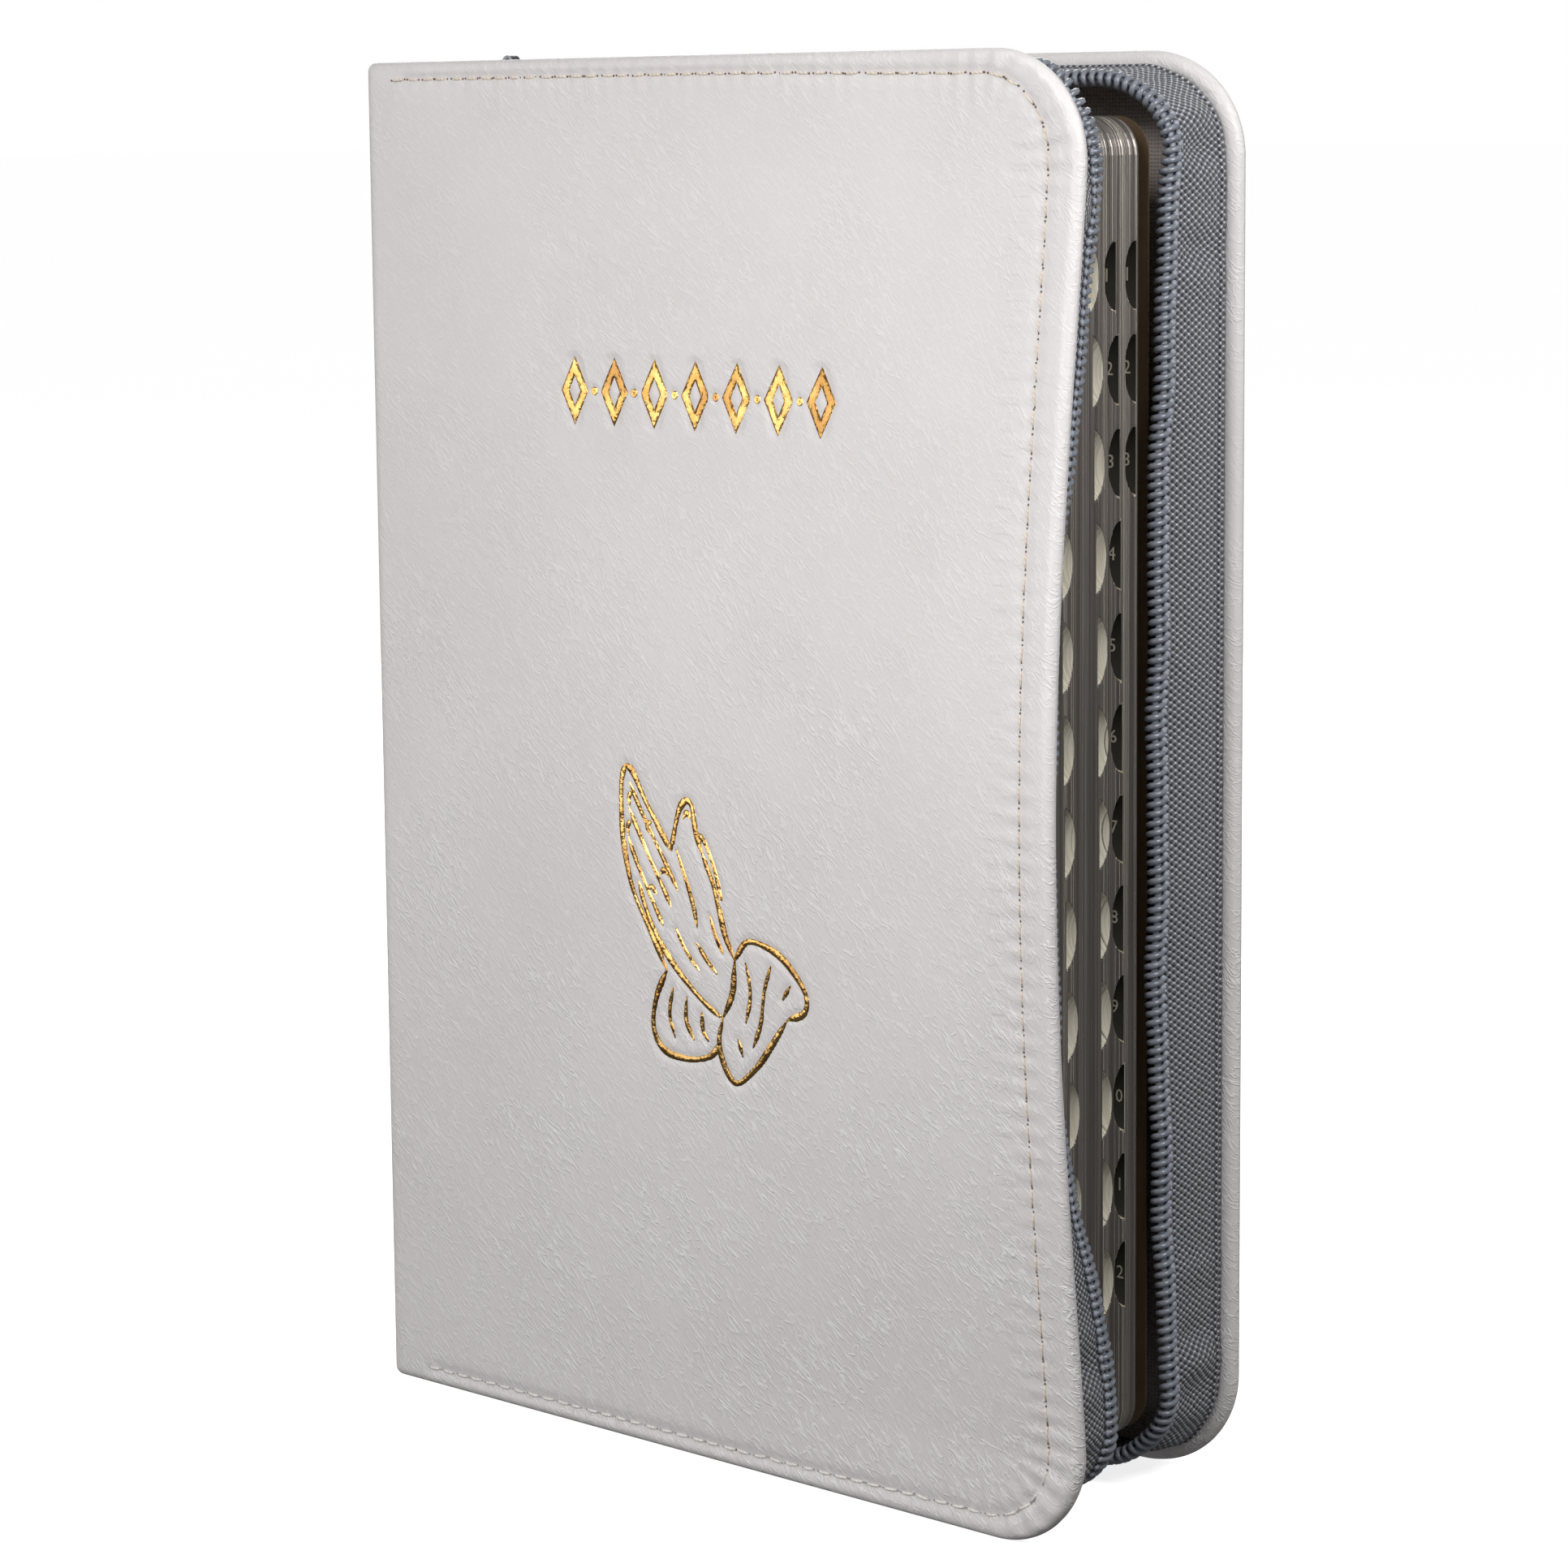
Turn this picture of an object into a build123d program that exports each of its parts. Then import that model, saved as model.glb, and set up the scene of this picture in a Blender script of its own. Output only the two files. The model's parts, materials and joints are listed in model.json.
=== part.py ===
from build123d import *
from collections import namedtuple
from math import cos, hypot, radians, sin, sqrt
import os

os.makedirs("parts", exist_ok=True)

# A zip-around prayer book that stands on its tail edge, unzipped, with its covers a little apart.
# +X runs from the spine to the fore edge, +Y from the front cover to the back cover, +Z from tail to head.
# All sizes are in millimetres. Plan positions are measured from the front cover's outer spine corner,
# and place() moves them so that the origin is under the middle of the whole book.

# ---------------------------------------------------------------- driving dimensions
BOOK_HEIGHT = 192.0
COVER_WIDTH = 127.0
COVER_THICKNESS = 2.6
CLOSED_THICKNESS = 29.3         # over both covers when the book is shut
BACK_SETBACK = 4.0              # the racked spine carries the back cover this far towards the spine
BACK_SPLAY = 6.1                # degrees the back cover stands open

LEATHER = 1.0                   # outer skin
LINING = 0.4                    # inner skin
RIM = 3.0                       # solid leather end of a cover at the spine joint
CORNER_RADIUS = 14.0            # fore corners of the covers
SPINE_CORNER_RADIUS = 3.0
EDGE_ROUND = 0.8

ZIP_TAPE = 0.6                  # tape thickness
TAPE_STANDS = 9.6               # how far the tape stands off the lining
TAPE_FLANGE = 4.5               # width of tape sewn inside the cover
COIL_WIDTH = 1.8
COIL_DEPTH = 2.0
STOP_LENGTH = 2.5

SEAM_PITCH = 2.9                # stitch to stitch
STITCH_LENGTH = 2.3
STITCH_WIDTH = 0.7
SEAM_GROOVE = 1.1
SEAM_DEPTH = 0.3

FOIL_DEPTH = 0.15
FOIL = 0.1

BLOCK_LOW = 8.5                 # tail and head of the page block
BLOCK_HIGH = 183.5
BLOCK_SPINE = 3.0
BLOCK_FRONT = 3.4
BLOCK_BACK = 24.6
FORE_EDGE_FRONT = 119.8         # the fore edge slants, because the book is racked
FORE_EDGE_BACK = 117.8
PAGE_CORNER = 5.0
LEAF_GAP = 0.1                  # between neighbouring page sections
SECTION_FRONTS = (BLOCK_FRONT, 11.2, 17.3, 22.4)
FLYLEAF = 0.2
FLYLEAF_SPINE = 2.85            # the front leaf turns just behind the corner of the block
REAR_FLYLEAF_ANGLE = 1.2

NOTCH_RADIUS = 4.65
NOTCH_DEPTH = 3.9
NOTCH_SLOPE = 2.7               # thickness of pages that one thumb notch slopes through
NOTCH_PITCH = 11.95
TOP_NOTCH = 163.2               # height of the first row's middle
LABEL = 0.08

# A column of thumb notches: depths of its first and last label page, the power by which the depth
# grows down the rows, which way the notches slope (+1 to the back), and the number of rows.
Column = namedtuple("Column", "first last growth slope rows")
COLUMNS = (
    Column(first=6.1, last=9.0, growth=2.0, slope=1, rows=12),
    Column(first=12.5, last=16.4, growth=0.55, slope=1, rows=12),
    Column(first=19.2, last=21.9, growth=0.55, slope=-1, rows=12),
    Column(first=24.2, last=24.2, growth=1.0, slope=-1, rows=3),
)
LAST_ROW = 11

SPINE_RADIUS = 29.5
SPINE_CENTRE = (24.2, 20.0)
SPINE_FROM, SPINE_TO = 3.1, 26.4

SLIDER_AT = 14.5                # slider's middle, from the spine corner
SLIDER_LENGTH = 8.6
SLIDER_PLATE = 0.7
PULL_LENGTH = 25.0
PULL_WIDTH = 5.4
PULL_THICKNESS = 0.8

# Where the zip tape enters a cover: its distance from head and tail, from the fore edge,
# its corner radius, and where it begins along the head and tail.
Seat = namedtuple("Seat", "edge fore radius start")
FRONT_SEAT = Seat(edge=3.2, fore=5.0, radius=10.5, start=5.0)
BACK_SEAT = Seat(edge=3.2, fore=2.5, radius=10.8, start=32.0)

# ---------------------------------------------------------------- planes
splay = radians(BACK_SPLAY)
MIDDLE_X = (COVER_WIDTH + SPINE_CENTRE[0] - SPINE_RADIUS) / 2
MIDDLE_Y = (CLOSED_THICKNESS + COVER_WIDTH * sin(splay)) / 2


def place(x, y, z=0.0):
    """A plan position in the book's own frame."""
    return (x - MIDDLE_X, y - MIDDLE_Y, z)


plan = Plane(origin=place(0, 0))
front = Plane(origin=place(0, 0), x_dir=(1, 0, 0), z_dir=(0, -1, 0))
back = Plane(
    origin=place(-BACK_SETBACK, CLOSED_THICKNESS),
    x_dir=(cos(splay), sin(splay), 0),
    z_dir=(sin(splay), -cos(splay), 0),
)
FRONT_INWARD = -1               # front.z_dir points out of the book, back.z_dir into it
BACK_INWARD = 1


# ---------------------------------------------------------------- cover outlines
def panel(left, edge, fore, radius):
    """Cover-shaped outline: straight at the spine side, round at the fore corners."""
    width = COVER_WIDTH - fore - left
    with BuildSketch() as outline:
        with Locations((left + width / 2, BOOK_HEIGHT / 2)):
            Rectangle(width, BOOK_HEIGHT - 2 * edge)
        fillet(outline.vertices().group_by(Axis.X)[-1], radius)
    return outline.sketch


def seat_panel(seat, inset, left):
    """The zip seat's outline, moved in by inset."""
    return panel(left, seat.edge + inset, seat.fore + inset, seat.radius - inset)


def seat_band(seat, outer, inner, left):
    """Strip that follows the zip round the head, the fore edge and the tail."""
    with BuildSketch() as band:
        add(seat_panel(seat, outer, left))
        add(seat_panel(seat, inner, left), mode=Mode.SUBTRACT)
    return band.sketch


def seam_line(edge, fore, start):
    """The line of stitches, from the spine side of the head round to the tail."""
    head = BOOK_HEIGHT - edge
    side = COVER_WIDTH - fore
    radius = CORNER_RADIUS - (edge + fore) / 2
    with BuildLine() as line:
        FilletPolyline((start, head), (side, head), (side, edge), (start, edge), radius=radius)
    return line.wire()


# ---------------------------------------------------------------- gold foil shapes
ORNAMENT_HEIGHT = 9.4
ORNAMENT_PITCH = 7.6
ORNAMENT_COUNT = 7
ORNAMENT_LEVEL = 147.0          # middle of the ornament band above the tail


def lozenge(half_width, half_height, mode=Mode.ADD):
    """Pointed four-sided figure."""
    Polygon((-half_width, 0), (0, half_height), (half_width, 0), (0, -half_height), mode=mode)


def ornament_shape():
    """A row of pierced lozenges with dots between them, in place of a title."""
    tall = ORNAMENT_HEIGHT / 2
    with BuildSketch() as shape:
        with Locations((COVER_WIDTH / 2, ORNAMENT_LEVEL)):
            with GridLocations(ORNAMENT_PITCH, 0, ORNAMENT_COUNT, 1):
                lozenge(0.56 * tall, tall)
                lozenge(0.22 * tall, 0.44 * tall, mode=Mode.SUBTRACT)
            with GridLocations(ORNAMENT_PITCH, 0, ORNAMENT_COUNT - 1, 1):
                Circle(0.6)
    return shape.sketch


def band(*points, width=0.8):
    """A stroke of even width through a few points."""
    with BuildLine() as line:
        Spline(*points)
    trace(line.wire(), width)


def hands_shape():
    """Two hands laid together, fingers up and to the spine side, rising out of loose cuffs."""
    with BuildSketch() as shape:
        # outer edges of the fingers and palms, from cuff to fingertips and back down the thumbs
        band((57.5, 68.5), (51.2, 79.0), (49.2, 89.5), (50.2, 95.6))
        band((50.2, 95.6), (53.8, 91.6), (58.8, 85.2))
        band((58.8, 85.2), (60.4, 90.6), (62.6, 91.6), (64.8, 85.4), (70.6, 71.6))
        # the heel of the near hand, and the wrist
        band((52.4, 80.2), (59.8, 68.6), (68.0, 63.2))
        band((68.0, 63.2), (70.0, 67.0), (70.6, 71.6))
        # fingers
        band((51.0, 93.4), (55.5, 86.5), (60.0, 79.8), width=0.6)
        band((50.6, 89.6), (54.8, 83.0), (58.6, 77.4), width=0.6)
        # near and far cuffs
        band((70.6, 71.6), (76.6, 74.0), (83.4, 68.2), (77.4, 61.2), (70.4, 55.0), (67.2, 59.4), (68.0, 63.2))
        band((57.5, 68.5), (54.7, 61.4), (60.2, 57.0), (67.2, 59.4))
    return shape.sketch


# ---------------------------------------------------------------- covers
def make_leather(face, inward, seat, seam, pressed=()):
    """Leather shell of one cover: skin, turned-in rim, seam groove and foil recesses."""
    whole = panel(0, 0, 0, CORNER_RADIUS)
    pocket = seat_panel(seat, 0, RIM)
    with BuildPart() as leather:
        with BuildSketch(face) as outline:
            add(whole)
            fillet(outline.vertices().group_by(Axis.X)[0], SPINE_CORNER_RADIUS)
        extrude(amount=inward * COVER_THICKNESS)
        flats = leather.faces().sort_by(Axis(face.origin, face.z_dir))
        fillet(flats[0].edges() + flats[-1].edges(), EDGE_ROUND)
        with BuildSketch(face.offset(inward * LEATHER)):
            add(pocket)
        extrude(amount=inward * (COVER_THICKNESS - LEATHER), mode=Mode.SUBTRACT)
        with BuildSketch(face):
            trace(seam, SEAM_GROOVE)
        extrude(amount=inward * SEAM_DEPTH, mode=Mode.SUBTRACT)
        for shape in pressed:
            with BuildSketch(face):
                add(shape)
            extrude(amount=inward * FOIL_DEPTH, mode=Mode.SUBTRACT)
    return leather


def make_slab(face, inward, shape, near, far):
    """A flat layer of a cover between two depths below its outer face."""
    with BuildPart() as slab:
        with BuildSketch(face.offset(inward * near)):
            add(shape)
        extrude(amount=inward * (far - near))
    return slab


def make_tape(face, inward, seat):
    """Zip tape: a flange sewn inside the cover and a wall that stands off it."""
    with BuildPart() as tape:
        with BuildSketch(face.offset(inward * LEATHER)):
            add(seat_band(seat, 0, TAPE_FLANGE, seat.start))
        extrude(amount=inward * (COVER_THICKNESS - LEATHER - LINING))
        with BuildSketch(face.offset(inward * LEATHER)):
            add(seat_band(seat, 0, ZIP_TAPE, seat.start))
        extrude(amount=inward * (COVER_THICKNESS - LEATHER + TAPE_STANDS))
    return tape


def make_stops(face, inward, seat, coil_spread):
    """Two metal stops, clamped where the coil ends at head and tail."""
    with BuildPart() as stops:
        with BuildSketch(face.offset(inward * (COVER_THICKNESS + TAPE_STANDS))):
            across = seat.edge + ZIP_TAPE / 2
            for height in (across, BOOK_HEIGHT - across):
                with Locations((seat.start + STOP_LENGTH / 2, height)):
                    Rectangle(STOP_LENGTH, 2 * coil_spread)
        extrude(amount=inward * COIL_DEPTH)
    return stops


def make_stitches(face, inward, seam):
    """Every stitch of one cover, lying in the seam groove."""
    count = round(seam.length / SEAM_PITCH)
    with BuildPart() as stitches:
        with BuildSketch(face.offset(inward * SEAM_DEPTH)):
            for number in range(count):
                along = (number + 0.5) / count
                spot = seam.position_at(along)
                with Locations(Location((spot.X, spot.Y), seam.tangent_angle_at(along))):
                    SlotOverall(STITCH_LENGTH, STITCH_WIDTH)
        extrude(amount=-inward * (SEAM_DEPTH - 0.05))
    return stitches


front_seam = seam_line(edge=3.4, fore=5.0, start=4.5)
back_seam = seam_line(edge=3.4, fore=4.6, start=4.5)
ornament = ornament_shape()
hands = hands_shape()
coil_spread = COIL_WIDTH / 2
coil_outer = ZIP_TAPE / 2 - coil_spread
coil_inner = ZIP_TAPE / 2 + coil_spread
tape_top = COVER_THICKNESS + TAPE_STANDS
coil_top = tape_top + COIL_DEPTH
board_depth = COVER_THICKNESS - LINING

pieces = {}
for side, face, inward, seat, seam, pressed in (
    ("front", front, FRONT_INWARD, FRONT_SEAT, front_seam, (ornament, hands)),
    ("back", back, BACK_INWARD, BACK_SEAT, back_seam, ()),
):
    board = seat_panel(seat, TAPE_FLANGE, RIM)
    lining = seat_panel(seat, ZIP_TAPE, RIM)
    coil = seat_band(seat, coil_outer, coil_inner, seat.start + STOP_LENGTH)
    pieces[f"{side}_cover_leather"] = make_leather(face, inward, seat, seam, pressed)
    pieces[f"{side}_cover_board"] = make_slab(face, inward, board, LEATHER, board_depth)
    pieces[f"{side}_cover_lining"] = make_slab(face, inward, lining, board_depth, COVER_THICKNESS)
    pieces[f"{side}_cover_stitching"] = make_stitches(face, inward, seam)
    pieces[f"{side}_zip_tape"] = make_tape(face, inward, seat)
    pieces[f"{side}_zip_coil"] = make_slab(face, inward, coil, tape_top, coil_top)
    pieces[f"{side}_zip_stops"] = make_stops(face, inward, seat, coil_spread)

foil_near = FOIL_DEPTH - FOIL
pieces["foil_ornament"] = make_slab(front, FRONT_INWARD, ornament, foil_near, FOIL_DEPTH)
pieces["foil_hands"] = make_slab(front, FRONT_INWARD, hands, foil_near, FOIL_DEPTH)


# ---------------------------------------------------------------- spine
def make_spine_strip(radius, thickness, start, stop, low, high):
    """Curved strip of the spine, between two plan depths and two heights."""
    with BuildPart() as strip:
        with BuildSketch(plan.offset(low)):
            with Locations(SPINE_CENTRE):
                Circle(radius)
                Circle(radius - thickness, mode=Mode.SUBTRACT)
            with Locations((-radius / 2, (start + stop) / 2)):
                Rectangle(radius + 2 * BLOCK_SPINE, stop - start, mode=Mode.INTERSECT)
        extrude(amount=high - low)
    return strip


pieces["spine_leather"] = make_spine_strip(
    SPINE_RADIUS, LEATHER, SPINE_FROM, SPINE_TO, 0.0, BOOK_HEIGHT
)
pieces["spine_lining"] = make_spine_strip(
    SPINE_RADIUS - LEATHER, LINING, SPINE_FROM + 1.6, SPINE_TO - 1.6, 3.0, BOOK_HEIGHT - 3.0
)

MULL = 0.4
MULL_MARGIN = 4.0
with BuildPart() as spine_mull:
    with BuildSketch(plan.offset(BLOCK_LOW + MULL_MARGIN)):
        with Locations((BLOCK_SPINE - MULL / 2, (BLOCK_FRONT + BLOCK_BACK) / 2)):
            Rectangle(MULL, BLOCK_BACK - BLOCK_FRONT)
    extrude(amount=BLOCK_HIGH - BLOCK_LOW - 2 * MULL_MARGIN)
pieces["spine_mull"] = spine_mull

HEADBAND_RADIUS = 1.0
for name, height in (("headband_top", BLOCK_HIGH - 0.4), ("headband_bottom", BLOCK_LOW + 0.4)):
    with BuildPart() as headband:
        start = Plane(origin=place(BLOCK_SPINE - 1.1, BLOCK_FRONT + 0.3, height), z_dir=(0, 1, 0))
        with BuildSketch(start):
            Circle(HEADBAND_RADIUS)
        extrude(amount=BLOCK_BACK - BLOCK_FRONT - 0.6)
    pieces[name] = headband


# ---------------------------------------------------------------- page block
def fore_edge(depth):
    """Where the fore edge lies at a plan depth into the block."""
    share = (depth - BLOCK_FRONT) / (BLOCK_BACK - BLOCK_FRONT)
    return FORE_EDGE_FRONT + share * (FORE_EDGE_BACK - FORE_EDGE_FRONT)


Notch = namedtuple("Notch", "depth height slope")   # label page, middle, +1 slopes to the back
notches = []
for column in COLUMNS:
    for row in range(column.rows):
        grown = (row / LAST_ROW) ** column.growth
        depth = column.first + (column.last - column.first) * grown
        notches.append(Notch(depth, TOP_NOTCH - NOTCH_PITCH * row, column.slope))


def reaches(notch, near, far):
    """Whether a notch cuts into the pages between two plan depths."""
    ends = sorted((notch.depth, notch.depth + notch.slope * NOTCH_SLOPE))
    return ends[0] < far and ends[1] > near


def page_plane(notch, beyond):
    """Upright plane on a notch's label page, with its origin beyond the fore edge."""
    spot = place(fore_edge(notch.depth) + beyond, notch.depth)
    return Plane(origin=spot, x_dir=(1, 0, 0), z_dir=(0, -1, 0))


def make_section(near, far):
    """One section of pages, with each thumb notch half round, deepest at its label page."""
    with BuildPart() as section:
        with BuildSketch(plan.offset(BLOCK_LOW)):
            Polygon(
                (BLOCK_SPINE, near),
                (fore_edge(near), near),
                (fore_edge(far), far),
                (BLOCK_SPINE, far),
                align=None,
            )
        extrude(amount=BLOCK_HIGH - BLOCK_LOW)
        corners = section.edges().filter_by(Axis.X, reverse=True).filter_by(Axis.Z, reverse=True)
        fillet(corners.group_by(Axis.X)[-1], PAGE_CORNER)
        for notch in notches:
            if reaches(notch, near, far):
                with BuildSketch(page_plane(notch, NOTCH_RADIUS - NOTCH_DEPTH)):
                    with Locations((0, notch.height)):
                        Circle(NOTCH_RADIUS)
                way = Vector(NOTCH_DEPTH, notch.slope * NOTCH_SLOPE, 0)
                extrude(amount=way.length, dir=way, mode=Mode.SUBTRACT)
    return section


def make_labels(near, far):
    """The black index labels on the label pages of one section."""
    with BuildPart() as labels:
        for notch in notches:
            if near < notch.depth < far:
                with BuildSketch(page_plane(notch, 0)):
                    with Locations((NOTCH_RADIUS - NOTCH_DEPTH, notch.height)):
                        Circle(NOTCH_RADIUS - 0.5)
                    with Locations((-NOTCH_RADIUS - 0.3, notch.height)):
                        Rectangle(2 * NOTCH_RADIUS, 2 * NOTCH_RADIUS, mode=Mode.INTERSECT)
                extrude(amount=-notch.slope * LABEL)
    return labels


section_backs = [depth - LEAF_GAP for depth in SECTION_FRONTS[1:]] + [BLOCK_BACK]
for number, (near, far) in enumerate(zip(SECTION_FRONTS, section_backs), start=1):
    pieces[f"page_section_{number}"] = make_section(near, far)
    pieces[f"index_labels_{number}"] = make_labels(near, far)


def make_flyleaf(sheet, width):
    """A single heavier leaf between the pages and a cover."""
    with BuildPart() as leaf:
        with BuildSketch(sheet):
            with Locations((width / 2, (BLOCK_LOW + BLOCK_HIGH) / 2)):
                Rectangle(width, BLOCK_HIGH - BLOCK_LOW)
        extrude(amount=FLYLEAF / 2, both=True)
        corners = leaf.edges().filter_by(lambda edge: edge.length < 2 * FLYLEAF)
        fillet(corners.sort_by(Axis.X)[-2:], PAGE_CORNER)
    return leaf


lift = radians(REAR_FLYLEAF_ANGLE)
front_sheet = Plane(origin=place(FLYLEAF_SPINE, 3.0), x_dir=(1, 0, 0), z_dir=(0, -1, 0))
rear_sheet = Plane(
    origin=place(BLOCK_SPINE, 24.9), x_dir=(cos(lift), sin(lift), 0), z_dir=(sin(lift), -cos(lift), 0)
)
pieces["front_flyleaf"] = make_flyleaf(front_sheet, FORE_EDGE_FRONT - FLYLEAF_SPINE - 0.3)
pieces["rear_flyleaf"] = make_flyleaf(rear_sheet, FORE_EDGE_BACK - 3.3)

# ---------------------------------------------------------------- zip slider and pull
coil_height = BOOK_HEIGHT - FRONT_SEAT.edge - ZIP_TAPE / 2
meeting_depth = CLOSED_THICKNESS / 2
CHANNEL_HALF_DEPTH = 2.85
CHANNEL_HALF_HEIGHT = 1.3
FLANGE = 0.6
TAPE_SLOT = 1.2
NECK_WIDTH = 0.6
NECK_LENGTH = 2.5
BAR_RADIUS = 0.5
BAR_LIFT = 1.3
EYE_RADIUS = 1.1
EYE_HOLE = 0.65
EYE_WIDTH = 1.6
POST_WIDTH = 0.9
POST_LENGTH = 1.3

body_half_depth = CHANNEL_HALF_DEPTH + FLANGE
body_half_height = CHANNEL_HALF_HEIGHT + SLIDER_PLATE
bar_height = coil_height + body_half_height + BAR_LIFT
slider_end = Plane(
    origin=place(SLIDER_AT - SLIDER_LENGTH / 2, meeting_depth, coil_height), x_dir=(0, 1, 0), z_dir=(1, 0, 0)
)
post_depth = EYE_WIDTH / 2 + 0.25 + POST_WIDTH / 2
with BuildPart() as zip_slider:
    with BuildSketch(slider_end):
        RectangleRounded(2 * body_half_depth, 2 * body_half_height, 0.8)
        Rectangle(2 * CHANNEL_HALF_DEPTH, 2 * CHANNEL_HALF_HEIGHT, mode=Mode.SUBTRACT)
        Rectangle(4 * body_half_depth, TAPE_SLOT, mode=Mode.SUBTRACT)
    extrude(amount=SLIDER_LENGTH)
    with BuildSketch(slider_end.offset(SLIDER_LENGTH - NECK_LENGTH)):
        Rectangle(NECK_WIDTH, 2 * body_half_height)
    extrude(amount=NECK_LENGTH)
    base = Plane(origin=place(SLIDER_AT, meeting_depth, coil_height + body_half_height))
    with BuildSketch(base):
        with Locations((0, -post_depth), (0, post_depth)):
            Rectangle(POST_LENGTH, POST_WIDTH)
    extrude(amount=BAR_LIFT)
    bar_start = Plane(
        origin=place(SLIDER_AT, meeting_depth - post_depth - POST_WIDTH / 2, bar_height), z_dir=(0, 1, 0)
    )
    with BuildSketch(bar_start):
        Circle(BAR_RADIUS)
    extrude(amount=2 * post_depth + POST_WIDTH)
pieces["zip_slider"] = zip_slider

with BuildPart() as pull_tab:
    tab_level = Plane(origin=place(SLIDER_AT, meeting_depth, bar_height))
    with BuildSketch(tab_level):
        with BuildLine():
            neck, tip = EYE_WIDTH / 2, PULL_WIDTH / 2
            Polyline((1.0, neck), (3.2, neck), (6.0, tip * 0.8), (PULL_LENGTH - tip, tip))
            ThreePointArc((PULL_LENGTH - tip, tip), (PULL_LENGTH, 0), (PULL_LENGTH - tip, -tip))
            Polyline((PULL_LENGTH - tip, -tip), (6.0, -tip * 0.8), (3.2, -neck), (1.0, -neck))
            Line((1.0, -neck), (1.0, neck))
        make_face()
        with Locations((PULL_LENGTH - 6.5, 0)):
            SlotOverall(7.0, 2.2, mode=Mode.SUBTRACT)
    extrude(amount=PULL_THICKNESS / 2, both=True)
    eye_start = Plane(origin=place(SLIDER_AT, meeting_depth - EYE_WIDTH / 2, bar_height), z_dir=(0, 1, 0))
    with BuildSketch(eye_start):
        Circle(EYE_RADIUS)
    extrude(amount=EYE_WIDTH)
    with BuildSketch(eye_start):
        Circle(EYE_HOLE)
    extrude(amount=EYE_WIDTH, mode=Mode.SUBTRACT)
pieces["pull_tab"] = pull_tab

# ---------------------------------------------------------------- write every piece
for name, piece in pieces.items():
    piece.part.label = name
    export_step(piece.part, f"parts/{name}.step")
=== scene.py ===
import json
import math

import bmesh
import bpy
import numpy as np
from mathutils import Matrix, Vector
from mathutils.geometry import delaunay_2d_cdt
from mathutils.kdtree import KDTree


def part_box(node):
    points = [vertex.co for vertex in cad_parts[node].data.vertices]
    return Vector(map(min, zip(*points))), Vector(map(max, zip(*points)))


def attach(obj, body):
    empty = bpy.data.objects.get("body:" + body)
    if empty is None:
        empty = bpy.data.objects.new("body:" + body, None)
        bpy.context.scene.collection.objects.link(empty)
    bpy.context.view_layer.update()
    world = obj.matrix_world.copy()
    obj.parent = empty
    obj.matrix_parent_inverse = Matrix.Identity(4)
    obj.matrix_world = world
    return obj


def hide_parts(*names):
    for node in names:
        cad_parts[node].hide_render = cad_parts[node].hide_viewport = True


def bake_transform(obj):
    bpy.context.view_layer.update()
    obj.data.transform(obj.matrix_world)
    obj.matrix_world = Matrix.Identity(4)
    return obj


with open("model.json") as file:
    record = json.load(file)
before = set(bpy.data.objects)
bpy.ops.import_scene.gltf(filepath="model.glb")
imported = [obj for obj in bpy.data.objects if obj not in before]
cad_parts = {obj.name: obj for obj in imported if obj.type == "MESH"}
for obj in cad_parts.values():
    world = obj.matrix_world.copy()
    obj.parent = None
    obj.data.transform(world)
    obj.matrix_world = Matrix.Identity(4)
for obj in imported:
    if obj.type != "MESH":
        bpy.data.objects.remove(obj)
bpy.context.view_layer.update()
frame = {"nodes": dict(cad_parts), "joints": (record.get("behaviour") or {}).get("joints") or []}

# A zip-around prayer book. Shapes are worked out in millimetres in the book's plan: x from the spine to
# the fore edge, y from the front cover to the back cover, z from tail to head. place() turns them into
# the frame's metres, measured from the front cover's outer corner at the spine and tail.
MM = 0.001
CORNER = np.array(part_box("front_cover_leather")[0])
FRONT_LOW, FRONT_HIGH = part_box("front_cover_leather")
W = (FRONT_HIGH.x - FRONT_LOW.x) / MM           # cover width
H = (FRONT_HIGH.z - FRONT_LOW.z) / MM           # cover height
THICK = (FRONT_HIGH.y - FRONT_LOW.y) / MM       # cover thickness
rng = np.random.default_rng(11)


def joint_spot(name):
    """A joint's place in plan millimetres."""
    joint = next(j for j in frame["joints"] if j["name"] == name)
    return (np.array(joint["pos_m"]) - CORNER) / MM


SPLAY = math.radians(6.1)
BACK_U = np.array([math.cos(SPLAY), math.sin(SPLAY), 0.0])     # along the back cover, to its fore edge
BACK_IN = np.array([math.sin(SPLAY), -math.cos(SPLAY), 0.0])   # from its outer face into the book
FRONT_HINGE = joint_spot("front_cover_hinge")
BACK_HINGE = joint_spot("back_cover_hinge")
BACK_HINGE[2] = 0.0
BACK_ORIGIN = BACK_HINGE - THICK / 2 * (BACK_U + BACK_IN)


def place(points):
    """Plan millimetres to frame metres."""
    return CORNER + MM * np.asarray(points, float)


def smooth(t):
    """Smooth step from 0 to 1."""
    t = np.clip(t, 0.0, 1.0)
    return t * t * (3 - 2 * t)


def unit(vectors):
    """Vectors scaled to a length of 1."""
    return vectors / np.linalg.norm(vectors, axis=-1, keepdims=True)


def run_length(path):
    """The distance along a path at each of its points."""
    return np.concatenate([[0], np.cumsum(np.linalg.norm(np.diff(path, axis=0), axis=1))])


def ellipse(across, up, count):
    """Points round an ellipse."""
    turns = np.linspace(0, 2 * math.pi, count, endpoint=False)
    return [(across * math.cos(a), up * math.sin(a)) for a in turns]


def tree_of(spots):
    """A tree that finds the nearest of some (across, up) spots."""
    tree = KDTree(len(spots))
    for i, (across, up) in enumerate(spots):
        tree.insert((across, up, 0), i)
    tree.balance()
    return tree


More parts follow.
